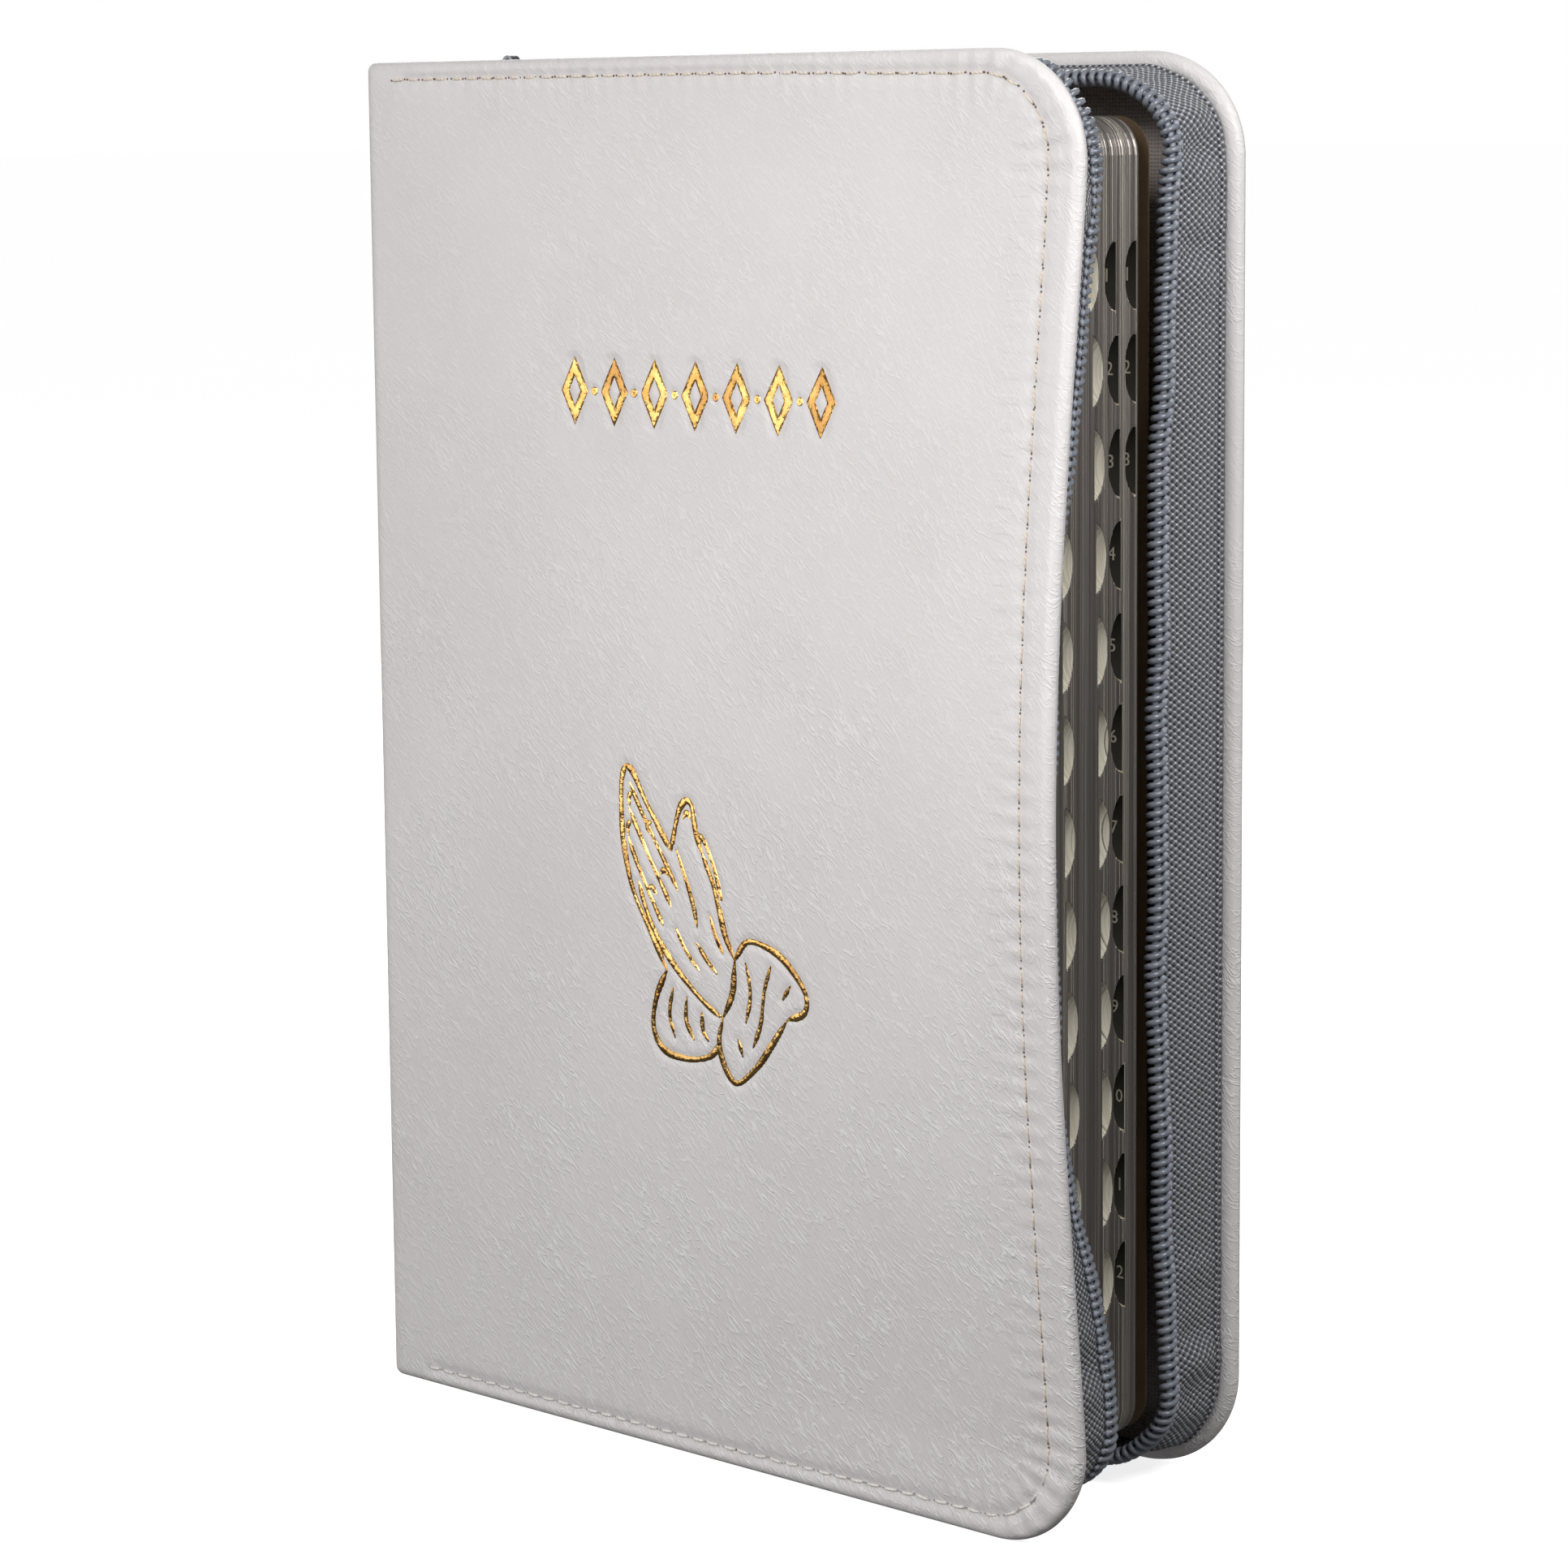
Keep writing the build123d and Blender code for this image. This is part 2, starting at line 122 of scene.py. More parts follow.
# ------------------------------------------------------------------ node material helpers
class Nodes:
    """Short calls for building one material's node tree."""

    def __init__(self, name):
        self.material = bpy.data.materials.new(name)
        self.material.use_nodes = True
        self.tree = self.material.node_tree
        self.shader = self.tree.nodes["Principled BSDF"]
        self.coords = self.tree.nodes.new("ShaderNodeTexCoord").outputs["Object"]

    def set(self, **values):
        for key, value in values.items():
            self.shader.inputs[key.replace("_", " ")].default_value = value

    def link(self, source, target):
        self.tree.links.new(source, self.shader.inputs[target] if isinstance(target, str) else target)

    def feed(self, socket, value):
        if hasattr(value, "is_linked"):
            self.tree.links.new(value, socket)
        else:
            socket.default_value = value

    def turned(self, rotation):
        node = self.tree.nodes.new("ShaderNodeMapping")
        node.inputs["Rotation"].default_value = rotation
        self.tree.links.new(self.coords, node.inputs["Vector"])
        return node.outputs["Vector"]

    def jittered(self, amount):
        """Coordinates pushed about a little by noise, so that regular bands waver."""
        node = self.tree.nodes.new("ShaderNodeTexNoise")
        node.inputs["Scale"].default_value = 180.0
        self.tree.links.new(self.coords, node.inputs["Vector"])
        push = self.tree.nodes.new("ShaderNodeVectorMath")
        push.operation = "MULTIPLY_ADD"
        push.inputs[1].default_value = (amount, amount, amount)
        self.tree.links.new(node.outputs["Color"], push.inputs[0])
        self.tree.links.new(self.coords, push.inputs[2])
        return push.outputs[0]

    def scaled(self, scale, source=None):
        node = self.tree.nodes.new("ShaderNodeMapping")
        node.inputs["Scale"].default_value = scale
        self.tree.links.new(source or self.coords, node.inputs["Vector"])
        return node.outputs["Vector"]

    def noise(self, scale, detail=2.0, roughness=0.5, vector=None, distortion=0.0):
        node = self.tree.nodes.new("ShaderNodeTexNoise")
        node.inputs["Scale"].default_value = scale
        node.inputs["Detail"].default_value = detail
        node.inputs["Roughness"].default_value = roughness
        node.inputs["Distortion"].default_value = distortion
        self.tree.links.new(vector or self.coords, node.inputs["Vector"])
        return node.outputs["Fac"]

    def wave(self, scale, direction="X", vector=None, distortion=0.0):
        node = self.tree.nodes.new("ShaderNodeTexWave")
        node.bands_direction = direction
        node.inputs["Scale"].default_value = scale
        node.inputs["Distortion"].default_value = distortion
        self.tree.links.new(vector or self.coords, node.inputs["Vector"])
        return node.outputs["Fac"]

    def math(self, operation, first, second=0.0):
        node = self.tree.nodes.new("ShaderNodeMath")
        node.operation = operation
        self.feed(node.inputs[0], first)
        self.feed(node.inputs[1], second)
        return node.outputs[0]

    def ramp(self, value, low, high, to_low=0.0, to_high=1.0):
        node = self.tree.nodes.new("ShaderNodeMapRange")
        node.interpolation_type = "SMOOTHSTEP"
        self.feed(node.inputs["Value"], value)
        for key, number in (("From Min", low), ("From Max", high), ("To Min", to_low), ("To Max", to_high)):
            self.feed(node.inputs[key], number)
        return node.outputs["Result"]

    def creases(self, scale, width, vector):
        """Thin wandering lines, 1 on a line and 0 beside it."""
        fold = self.noise(scale, 2.0, 0.5, vector=vector, distortion=0.3)
        return self.ramp(self.math("ABSOLUTE", self.math("SUBTRACT", fold, 0.5)), 0.0, width, 1.0, 0.0)

    def mix(self, factor, first, second):
        node = self.tree.nodes.new("ShaderNodeMix")
        node.data_type = "RGBA"
        self.feed(node.inputs["Factor"], factor)
        for socket, value in ((node.inputs["A"], first), (node.inputs["B"], second)):
            self.feed(socket, value if hasattr(value, "is_linked") else (*value, 1.0))
        return node.outputs["Result"]

    def axis(self, name, source=None):
        node = self.tree.nodes.new("ShaderNodeSeparateXYZ")
        self.tree.links.new(source or self.coords, node.inputs[0])
        return node.outputs[name]

    def attribute(self, name):
        node = self.tree.nodes.new("ShaderNodeAttribute")
        node.attribute_name = name
        return node.outputs["Fac"]

    def bump(self, height, strength, distance):
        node = self.tree.nodes.new("ShaderNodeBump")
        node.inputs["Strength"].default_value = strength
        node.inputs["Distance"].default_value = distance
        self.feed(node.inputs["Height"], height)
        return node.outputs["Normal"]


def srgb(red, green, blue):
    """Display values from 0 to 255 to linear colour."""
    shares = (red / 255, green / 255, blue / 255)
    return tuple(((c + 0.055) / 1.055) ** 2.4 if c > 10 / 255 else c / 12.92 for c in shares)


# ------------------------------------------------------------------ materials
FEED_PITCH = 0.0016             # the feed marks' spacing in metres


def leather_material():
    """Pearl-white imitation leather: cloudy tone, fine pores, thin pale creases that run on a slant and
    gather low down, and the sewing machine's feed marks beside the fore seam."""
    n = Nodes("pearl_leather")
    cloud = n.noise(24.0, 3.0, 0.55)
    pores = n.noise(1500.0, 3.0, 0.6)
    slant = n.scaled((0.7, 1.0, 4.0), n.turned((0.0, math.radians(-36.0), 0.0)))
    steep = n.scaled((0.7, 1.0, 3.2), n.turned((0.0, math.radians(-58.0), 0.0)))
    lines = n.math("MAXIMUM", n.creases(230.0, 0.035, slant), n.creases(300.0, 0.04, steep))
    patches = n.ramp(n.noise(60.0, 2.0), 0.38, 0.62, 0.45, 1.0)
    low_down = n.ramp(n.axis("Z"), 0.03, 0.15, 1.0, 0.42)
    lines = n.math("MULTIPLY", lines, n.math("MULTIPLY", low_down, patches))
    tone = n.mix(n.ramp(cloud, 0.3, 0.7), srgb(228, 224, 223), srgb(223, 218, 217))
    tone = n.mix(n.math("MULTIPLY", lines, 0.65), tone, srgb(248, 246, 245))
    n.link(tone, "Base Color")
    n.link(n.ramp(pores, 0.3, 0.7, 0.36, 0.48), "Roughness")
    n.set(Specular_IOR_Level=0.5, Sheen_Weight=0.12, Sheen_Roughness=0.4)
    n.set(Coat_Weight=0.12, Coat_Roughness=0.28)
    fore = FRONT_HIGH.x
    band = n.math("MULTIPLY", n.ramp(n.axis("X"), fore - 0.0108, fore - 0.0096),
                  n.ramp(n.axis("X"), fore - 0.0082, fore - 0.0070, 1.0, 0.0))
    ticks = n.wave(0.157 / FEED_PITCH, "Z", vector=n.jittered(0.0006))
    marks = n.math("MULTIPLY", band, n.math("MULTIPLY", n.ramp(ticks, 0.55, 0.9), patches))
    height = n.math("ADD", n.math("MULTIPLY", pores, 0.35), lines)
    height = n.math("ADD", height, n.math("MULTIPLY", marks, 0.6))
    height = n.math("ADD", height, n.math("MULTIPLY", cloud, 1.5))
    n.link(n.bump(height, 0.55, 0.00018), "Normal")
    return n.material


def foil_material():
    """Stamped gold foil with small dents that break up the reflection, darker patches of painted reflection,
    and painted darker bronze towards the bottom of the hands.
    """
    n = Nodes("gold_foil")
    dents = n.noise(520.0, 3.0, 0.6)
    # Random darker patches of gold, painted reflection that breaks up the evenly gold foil; the same noise
    # also adds to the bump.
    dim_patches = n.noise(90.0, 2.0, 0.5)
    gold = n.mix(n.ramp(dents, 0.35, 0.7), srgb(244, 202, 126), srgb(212, 162, 90))
    gold = n.mix(n.ramp(dim_patches, 0.45, 0.65), gold, srgb(184, 138, 78))
    # Painted reflection: the foil turns darker bronze towards the bottom of the hands emblem, as if mirroring
    # a darker floor.
    n.link(n.mix(n.ramp(n.axis("Z"), 0.054, 0.078, 0.5, 0.0), gold, srgb(120, 88, 52)), "Base Color")
    n.set(Metallic=1.0, Roughness=0.16)
    n.link(n.bump(n.math("ADD", dents, dim_patches), 0.55, 0.0004), "Normal")
    return n.material


def thread_material():
    """Beige sewing thread with a twist, paler along the tail."""
    n = Nodes("sewing_thread")
    twist = n.wave(900.0, "DIAGONAL")
    beige = n.mix(twist, srgb(240, 228, 214), srgb(220, 205, 189))
    n.link(n.mix(n.ramp(n.axis("Z"), 0.006, 0.016, 0.75, 0.0), beige, srgb(232, 229, 227)), "Base Color")
    n.set(Roughness=0.7, Sheen_Weight=0.3)
    n.link(n.bump(twist, 0.4, 0.0001), "Normal")
    return n.material


def hole_material():
    """Shadowed needle holes."""
    n = Nodes("needle_hole")
    shade = n.mix(n.noise(3000.0), srgb(140, 122, 106), srgb(104, 86, 72))
    n.link(n.mix(n.ramp(n.axis("Z"), 0.006, 0.016, 0.7, 0.0), shade, srgb(206, 202, 200)), "Base Color")
    n.set(Roughness=0.9)
    return n.material


def tape_material():
    """Grey woven zip tape. Its yarns cross on two slants, along the ribbon's own length and width. Its colour
    is painted shade in the hollows between the yarns and a painted highlight on their high spots."""
    n = Nodes("zip_tape_weave")
    uv = n.tree.nodes.new("ShaderNodeUVMap").outputs["UV"]
    along, across = n.axis("X", uv), n.axis("Y", uv)
    wander = n.math("MULTIPLY", n.noise(420.0, 2.0), 0.5)
    along = n.math("ADD", along, wander)
    turn = n.math("MULTIPLY", along, 2 * math.pi / 0.95)
    tilt = n.math("MULTIPLY", across, 2 * math.pi / 1.3)
    rising = n.math("SINE", n.math("ADD", turn, tilt))
    falling = n.math("SINE", n.math("SUBTRACT", turn, tilt))
    weave = n.math("MULTIPLY", n.math("ADD", rising, falling), 0.5)
    weave = n.math("ADD", weave, n.math("MULTIPLY", n.math("MAXIMUM", rising, falling), 0.45))
    fuzz = n.noise(4200.0, 3.0, 0.7)
    yarn = n.math("ADD", weave, n.math("MULTIPLY", n.math("SUBTRACT", fuzz, 0.5), 1.1))
    # Painted shade and highlight: darker between the yarns, lighter up their sides, near white on their high
    # spots.
    tone = n.mix(n.ramp(yarn, -0.6, 0.9), srgb(66, 67, 72), srgb(146, 147, 155))
    tone = n.mix(n.ramp(yarn, 0.8, 1.5), tone, srgb(236, 238, 244))
    n.link(tone, "Base Color")
    n.set(Roughness=0.6, Sheen_Weight=0.25, Specular_IOR_Level=0.5)
    n.link(n.bump(yarn, 0.9, 0.0002), "Normal")
    return n.material


def mottled_material(name, mottle, light, dark, **settings):
    """A finish whose two tones are mottled by noise of one scale."""
    n = Nodes(name)
    n.link(n.mix(n.noise(mottle), light, dark), "Base Color")
    n.set(**settings)
    return n.material


def metal_material():
    """Grey plated zip metal with light scuffs."""
    n = Nodes("zip_metal")
    scuffs = n.noise(700.0, 4.0, 0.6, vector=n.scaled((1.0, 0.25, 1.0)))
    n.link(n.mix(scuffs, srgb(150, 152, 158), srgb(112, 114, 120)), "Base Color")
    n.set(Metallic=0.9)
    n.link(n.ramp(scuffs, 0.3, 0.7, 0.24, 0.42), "Roughness")
    n.link(n.bump(scuffs, 0.15, 0.0001), "Normal")
    return n.material


def gilt_material():
    """Silvered page edges: fine lines of leaf edges in metal, with cream paper where notches are cut."""
    n = Nodes("silver_page_edge")
    lines = n.noise(1.0, 3.0, 0.7, vector=n.scaled((60.0, 5200.0, 14.0)))
    bands = n.noise(1.0, 2.0, 0.5, vector=n.scaled((20.0, 900.0, 6.0)))
    cut = n.ramp(n.attribute("cut"), 0.0, 0.06)
    silver = n.mix(n.ramp(lines, 0.32, 0.68), srgb(132, 124, 118), srgb(188, 182, 176))
    silver = n.mix(n.ramp(bands, 0.4, 0.7, 0.0, 0.7), silver, srgb(114, 106, 100))
    cream = n.mix(n.ramp(lines, 0.35, 0.65), srgb(214, 206, 184), srgb(240, 234, 216))
    n.link(n.mix(cut, silver, cream), "Base Color")
    n.link(n.ramp(cut, 0.0, 1.0, 0.85, 0.0), "Metallic")
    n.link(n.ramp(cut, 0.0, 1.0, 0.34, 0.8), "Roughness")
    n.link(n.bump(lines, 0.5, 0.00015), "Normal")
    return n.material


def paper_material(name, light, dark):
    """Thin book paper with faint fibres and mottling."""
    n = Nodes(name)
    mottle = n.noise(160.0, 4.0, 0.6)
    fibres = n.noise(2400.0, 3.0, 0.7)
    n.link(n.mix(mottle, light, dark), "Base Color")
    n.set(Roughness=0.85)
    n.link(n.bump(fibres, 0.25, 0.00008), "Normal")
    return n.material


def cloth_material(name, light, dark, thread):
    """Fine plain-woven cloth; thread is the distance between threads in metres."""
    n = Nodes(name)
    bands = 1 / (math.pi * thread)
    weft = n.wave(bands, "Z", distortion=0.6)
    warp = n.wave(bands, "X", distortion=0.6)
    weave = n.math("MULTIPLY", weft, warp)
    n.link(n.mix(weave, light, dark), "Base Color")
    n.set(Roughness=0.85, Sheen_Weight=0.2)
    n.link(n.bump(weave, 0.5, 0.0002), "Normal")
    return n.material


def headband_material():
    """Striped headband: two colours of silk wound round a core."""
    n = Nodes("headband_silk")
    stripes = n.wave(160.0, "Y")
    n.link(n.mix(n.ramp(stripes, 0.45, 0.55), srgb(226, 222, 214), srgb(150, 146, 140)), "Base Color")
    n.set(Roughness=0.5, Sheen_Weight=0.3)
    n.link(n.bump(n.wave(900.0, "Y"), 0.5, 0.0002), "Normal")
    return n.material


LEATHER = leather_material()
FOIL = foil_material()
THREAD = thread_material()
HOLE = hole_material()
TAPE = tape_material()
# The coil's blue-grey nylon, and the twisted thread that sews it to its tape.
COIL = mottled_material("zip_coil_nylon", 900.0, srgb(164, 169, 180), srgb(122, 127, 137), Roughness=0.22,
                        Transmission_Weight=0.2, IOR=1.53, Coat_Weight=0.4, Coat_Roughness=0.12)
COIL_THREAD = mottled_material("zip_coil_thread", 2600.0, srgb(188, 193, 204), srgb(132, 138, 150),
                               Roughness=0.45, Sheen_Weight=0.2)
METAL = metal_material()
GILT = gilt_material()
PAGE = paper_material("page_paper", srgb(238, 233, 218), srgb(226, 219, 201))
# Endpaper for both flyleaves, coloured dark brown as painted shade for the shadowed gaps between the pages
# and the covers.
SHADED_ENDPAPER = paper_material("endpaper", srgb(104, 84, 60), srgb(86, 68, 48))
# The slightly glossy index labels, and the pale numerals printed on them.
LABEL = mottled_material("index_label_black", 900.0, srgb(22, 22, 23), srgb(14, 14, 15), Roughness=0.4)
MARK = mottled_material("index_mark_print", 2000.0, srgb(196, 192, 180), srgb(170, 166, 156), Roughness=0.6)
LINING = cloth_material("lining_cloth", srgb(226, 214, 205), srgb(192, 178, 168), 0.0005)
MULL = cloth_material("mull_cloth", srgb(232, 228, 216), srgb(186, 180, 166), 0.0009)
HEADBAND = headband_material()


# ------------------------------------------------------------------ mesh helpers
def make_object(name, points, faces, material, smooth_faces=True, uvs=None, crease=None):
    """A mesh object from plan millimetres. crease is the angle past which an edge stays sharp."""
    mesh = bpy.data.meshes.new(name)
    mesh.from_pydata(place(points).tolist(), [], faces)
    mesh.validate()
    if smooth_faces:
        mesh.shade_smooth()
    if crease:
        mesh.set_sharp_from_angle(angle=crease)
    if uvs is not None:
        layer = mesh.uv_layers.new(name="UVMap")
        index = np.empty(len(mesh.loops), int)
        mesh.loops.foreach_get("vertex_index", index)
        layer.data.foreach_set("uv", np.asarray(uvs)[index].ravel())
    mesh.update()
    obj = bpy.data.objects.new(name, mesh)
    bpy.context.scene.collection.objects.link(obj)
    obj.data.materials.append(material)
    return obj


def grid_faces(rows, columns, close_rows=False, close_columns=False, start=0):
    """Quads of a grid whose points run column by column within each row."""
    faces = []
    for r in range(rows if close_rows else rows - 1):
        for c in range(columns if close_columns else columns - 1):
            a = start + r * columns + c
            b = start + r * columns + (c + 1) % columns
            below = start + ((r + 1) % rows) * columns
            faces.append((a, b, below + (c + 1) % columns, below + c))
    return faces


def grid_rim(index):
    """The indices round a grid, from its first row on."""
    return np.concatenate([index[:, 0], index[-1, 1:], index[-2::-1, -1], index[0, -2:0:-1]])


def tube(centres, sideways, outward, profile):
    """Points and faces of a closed tube; profile is a loop of (sideways, outward) offsets."""
    points = [c + s * p[0] + o * p[1] for c, s, o in zip(centres, sideways, outward) for p in profile]
    count, sides = len(centres), len(profile)
    faces = grid_faces(count, sides, close_columns=True)
    faces.append(tuple(reversed(range(sides))))
    faces.append(tuple(range((count - 1) * sides, count * sides)))
    return points, faces


def joined(parts):
    """Several (points, faces) lists as one."""
    points, faces = [], []
    for more_points, more_faces in parts:
        start = len(points)
        points.extend(more_points)
        faces.extend(tuple(i + start for i in face) for face in more_faces)
    return points, faces


def curve_through(knots, per_span=10):
    """Catmull-Rom points through a few 2-D knots."""
    knots = np.asarray(knots, float)
    padded = np.vstack([2 * knots[0] - knots[1], knots, 2 * knots[-1] - knots[-2]])
    found = []
    for a, b, c, d in zip(padded, padded[1:], padded[2:], padded[3:]):
        for t in np.linspace(0, 1, per_span, endpoint=False):
            found.append(0.5 * (2 * b + (c - a) * t + (2 * a - 5 * b + 4 * c - d) * t * t
                                + (3 * b - a - 3 * c + d) * t ** 3))
    found.append(knots[-1])
    return np.array(found)


# ------------------------------------------------------------------ the covers' shape
CORNER_RADIUS = 14.0
BOW = 6.4                       # how far the front cover's fore edge swells out at mid height
BOW_LOW, BOW_HIGH = 12.0, 178.0


def bow(x, z):
    """Outward swell of the front cover."""
    t = np.clip((np.asarray(z) - BOW_LOW) / (BOW_HIGH - BOW_LOW), 0, 1)
    return BOW * np.sin(math.pi * t) ** 1.2 * np.clip(np.asarray(x) / W, 0, 1) ** 1.6


def on_front(x, z, depth):
    """A spot on the front cover: across, up and below its outer face."""
    x, z, depth = np.broadcast_arrays(np.asarray(x, float), z, depth)
    return np.stack([x, depth - bow(x, z), z], -1)


def on_back(x, z, depth):
    """A spot on the back cover: across, up and below its outer face."""
    x, z, depth = np.broadcast_arrays(np.asarray(x, float), z, depth)
    spots = BACK_ORIGIN + x[..., None] * BACK_U + depth[..., None] * BACK_IN
    spots[..., 2] = z
    return spots


def edge_distance(x, z):
    """How far a spot lies inside the cover's outline."""
    inside = np.minimum(np.minimum(z, H - z), W - x)
    across = x - (W - CORNER_RADIUS)
    up = np.maximum(CORNER_RADIUS - z, z - (H - CORNER_RADIUS))
    in_corner = (across > 0) & (up > 0)
    return np.where(in_corner, CORNER_RADIUS - np.hypot(across, up), inside)


def round_corners(x, z):
    """Moves the grid's square fore corners onto the rounded outline."""
    r = CORNER_RADIUS
    a = np.clip((x - (W - r)) / r, 0, 1)
    high, low = np.clip((z - (H - r)) / r, 0, 1), np.clip((r - z) / r, 0, 1)
    b = np.maximum(high, low)
    new_a, new_b = a * np.sqrt(1 - b * b / 2), b * np.sqrt(1 - a * a / 2)
    corner = (a > 0) & (b > 0)
    centre_z = np.where(high > 0, H - r, r)
    sign = np.where(high > 0, 1.0, -1.0)
    return np.where(corner, W - r + r * new_a, x), np.where(corner, centre_z + sign * r * new_b, z)


def edge_round(inside):
    """Depth of the outer skin near the rolled edge."""
    r = THICK / 2
    e = np.clip(r - inside, 0, r)
    return r - np.sqrt(np.maximum(r * r - e * e, 0))


# ------------------------------------------------------------------ seam and stitches
SEAM_FORE = 5.0
SEAM_START = 5.0
JOINT_AT = 6.0                  # the covers' skins start here, and the joint strips reach to here
SEAM_FADE = 3.0                 # the seam sinks to its full depth over this far
SEAM_DEEP, SEAM_HALF = 0.34, 0.75
PUCKER_DEEP = 0.09              # twice as deep round the fore corners
STITCH_PITCH = 2.9


def seam_margin(x):
    """The seam runs close to head and tail, and a little further in towards the fore corners."""
    return 2.5 + 0.6 * smooth((x - 65.0) / 50.0)


def seam_path():
    """Closely spaced points of the stitch line from the head round to the tail."""
    radius = CORNER_RADIUS - SEAM_FORE + 1.5
    x_end = W - SEAM_FORE - radius
    margin = float(seam_margin(x_end))
    run = np.arange(SEAM_START, x_end, 0.2)
    turn = np.linspace(0, math.pi / 2, 60)
    head = np.stack([run, H - seam_margin(run)], -1)
    corner = np.stack([x_end + radius * np.sin(turn), H - margin - radius + radius * np.cos(turn)], -1)
    fall = np.arange(H - margin - radius - 0.2, margin + radius, -0.2)
    side = np.stack([np.full_like(fall, W - SEAM_FORE), fall], -1)
    upper = np.vstack([head, corner, side])
    lower = corner[::-1] * (1, -1) + (0, H)
    tail = head[::-1] * (1, -1) + (0, H)
    path = np.vstack([upper, lower, tail])
    return path, run_length(path)


SEAM, SEAM_LENGTH = seam_path()


def at_length(path, length, wanted):
    """Points of a path at given lengths along it."""
    return np.stack([np.interp(wanted, length, path[:, k]) for k in range(path.shape[1])], -1)


def seam_relief(x, z):
    """How deep the sewing pulls the skin in, with small puckers across the stitches."""
    relief = np.zeros(x.shape)
    start = smooth((x - JOINT_AT) / SEAM_FADE)
    corner = smooth((x - (W - 26.0)) / 12.0) * smooth((np.abs(z - H / 2) - (H / 2 - 26.0)) / 12.0)
    tree = tree_of(SEAM)
    near = np.flatnonzero(edge_distance(x, z) < 12.0)
    for i in near:
        _, found, gap = tree.find((x[i], z[i], 0))
        phase = 2 * math.pi * SEAM_LENGTH[found] / STITCH_PITCH
        relief[i] = SEAM_DEEP * math.exp(-(gap / SEAM_HALF) ** 2)
        pucker = PUCKER_DEEP * (1 + corner[i]) * math.cos(phase)
        relief[i] += pucker * math.exp(-(gap / (2.2 + 2.0 * corner[i])) ** 2)
    return relief * start


def make_stitching(side, spot):
    """Every stitch as a short bent strand that dives into the skin at both ends, and the needle holes."""
    count = int(SEAM_LENGTH[-1] / STITCH_PITCH)
    strands, holes = [], []
    for k in range(count):
        slip = rng.normal(0, 0.12)
        half = 0.5 * 2.0 * (1 + rng.normal(0, 0.06))
        middle = (k + 0.5) * STITCH_PITCH + slip
        tilt = rng.normal(0, 0.06)
        along = np.linspace(-half, half, 7)
        flat = at_length(SEAM, SEAM_LENGTH, middle + along)
        way = unit(flat[-1] - flat[0])
        cross = np.array([-way[1], way[0]])
        flat = flat + cross * (along * tilt)[:, None]
        rise = 0.19 * (1 - (along / half) ** 2) - 0.12 * (np.abs(along / half) ** 6)
        depth = 0.36 * smooth((flat[:, 0] - JOINT_AT) / SEAM_FADE) - rise
        centres = spot(flat[:, 0], flat[:, 1], depth)
        ahead = unit(np.gradient(centres, axis=0))
        sideways = unit(spot(flat[:, 0] + 0.01 * cross[0], flat[:, 1] + 0.01 * cross[1], depth) - centres)
        outward = np.cross(ahead, sideways)
        strands.append(tube(centres, sideways, outward, ellipse(0.2, 0.17, 6)))
        for end in (0, -1):
            hub = flat[end] + way * (0.16 if end else -0.16)
            disc = [hub + offset for offset in ellipse(0.17, 0.17, 6)]
            rim = [spot(p[0], p[1], 0.31 * smooth((p[0] - JOINT_AT) / SEAM_FADE)) for p in disc]
            floor = [spot(hub[0] + 0.5 * (p[0] - hub[0]), hub[1] + 0.5 * (p[1] - hub[1]), 0.6) for p in disc]
            points = [np.asarray(p) for p in rim + floor]
            faces = grid_faces(2, 6, close_columns=True) + [(0, 1, 2, 3, 4, 5), (11, 10, 9, 8, 7, 6)]
            holes.append((points, faces))
    stitching = make_object(f"{side}_stitching", *joined(strands), THREAD)
    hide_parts(f"{side}_cover_stitching")
    needle_holes = make_object(f"{side}_needle_holes", *joined(holes), HOLE)
    for piece in (stitching, needle_holes):
        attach(piece, f"{side}_cover")


# ------------------------------------------------------------------ gold foil
ORNAMENT_MIDDLE = np.array([63.5, 147.0])
LOZENGE_TALL = 4.7              # half the height of a lozenge
LOZENGE_WIDE = 0.56 * LOZENGE_TALL
LOZENGE_PITCH = 7.6
OUTLINE, DETAIL = 1.0, 0.78    # widths of the hands' lines


def ring_band(middle, outer, inner, per_side):
    """The band between two similar closed outlines, as left and right lines."""
    left, right = [], []
    for a, b, c, d in zip(outer, outer[1:] + outer[:1], inner, inner[1:] + inner[:1]):
        for t in np.arange(per_side) / per_side:
            left.append(middle + (1 - t) * np.array(a) + t * np.array(b))
            right.append(middle + (1 - t) * np.array(c) + t * np.array(d))
    return np.array(left), np.array(right), True


def lozenge(wide, tall):
    return [(-wide, 0.0), (0.0, tall), (wide, 0.0), (0.0, -tall)]


def circle(radius, count=14):
    return [(radius * math.cos(a), radius * math.sin(a)) for a in np.arange(count) * -2 * math.pi / count]


def ornament_bands():
    """A row of pierced lozenges with dots between them."""
    bands = []
    for step in range(-3, 4):
        middle = ORNAMENT_MIDDLE + (LOZENGE_PITCH * step, 0)
        bands.append(ring_band(middle, lozenge(LOZENGE_WIDE, LOZENGE_TALL),
                               lozenge(0.22 * LOZENGE_TALL, 0.44 * LOZENGE_TALL), 8))
        if step < 3:
            bands.append(ring_band(middle + (LOZENGE_PITCH / 2, 0), circle(0.6), circle(0.05), 1))
    return bands


def line_band(knots, width):
    """A drawn line with tapered ends, as left and right lines."""
    points = curve_through(knots, 7)
    way = unit(np.gradient(points, axis=0))
    cross = np.stack([-way[:, 1], way[:, 0]], -1)
    order = np.arange(len(points))
    taper = np.minimum(1, 0.35 + np.minimum(order, order[::-1]) / 5)
    swell = 1 + 0.16 * np.sin(order / 3.1 + knots[0][0])
    half = cross * (0.5 * width * taper * swell)[:, None]
    return points + half, points - half, False


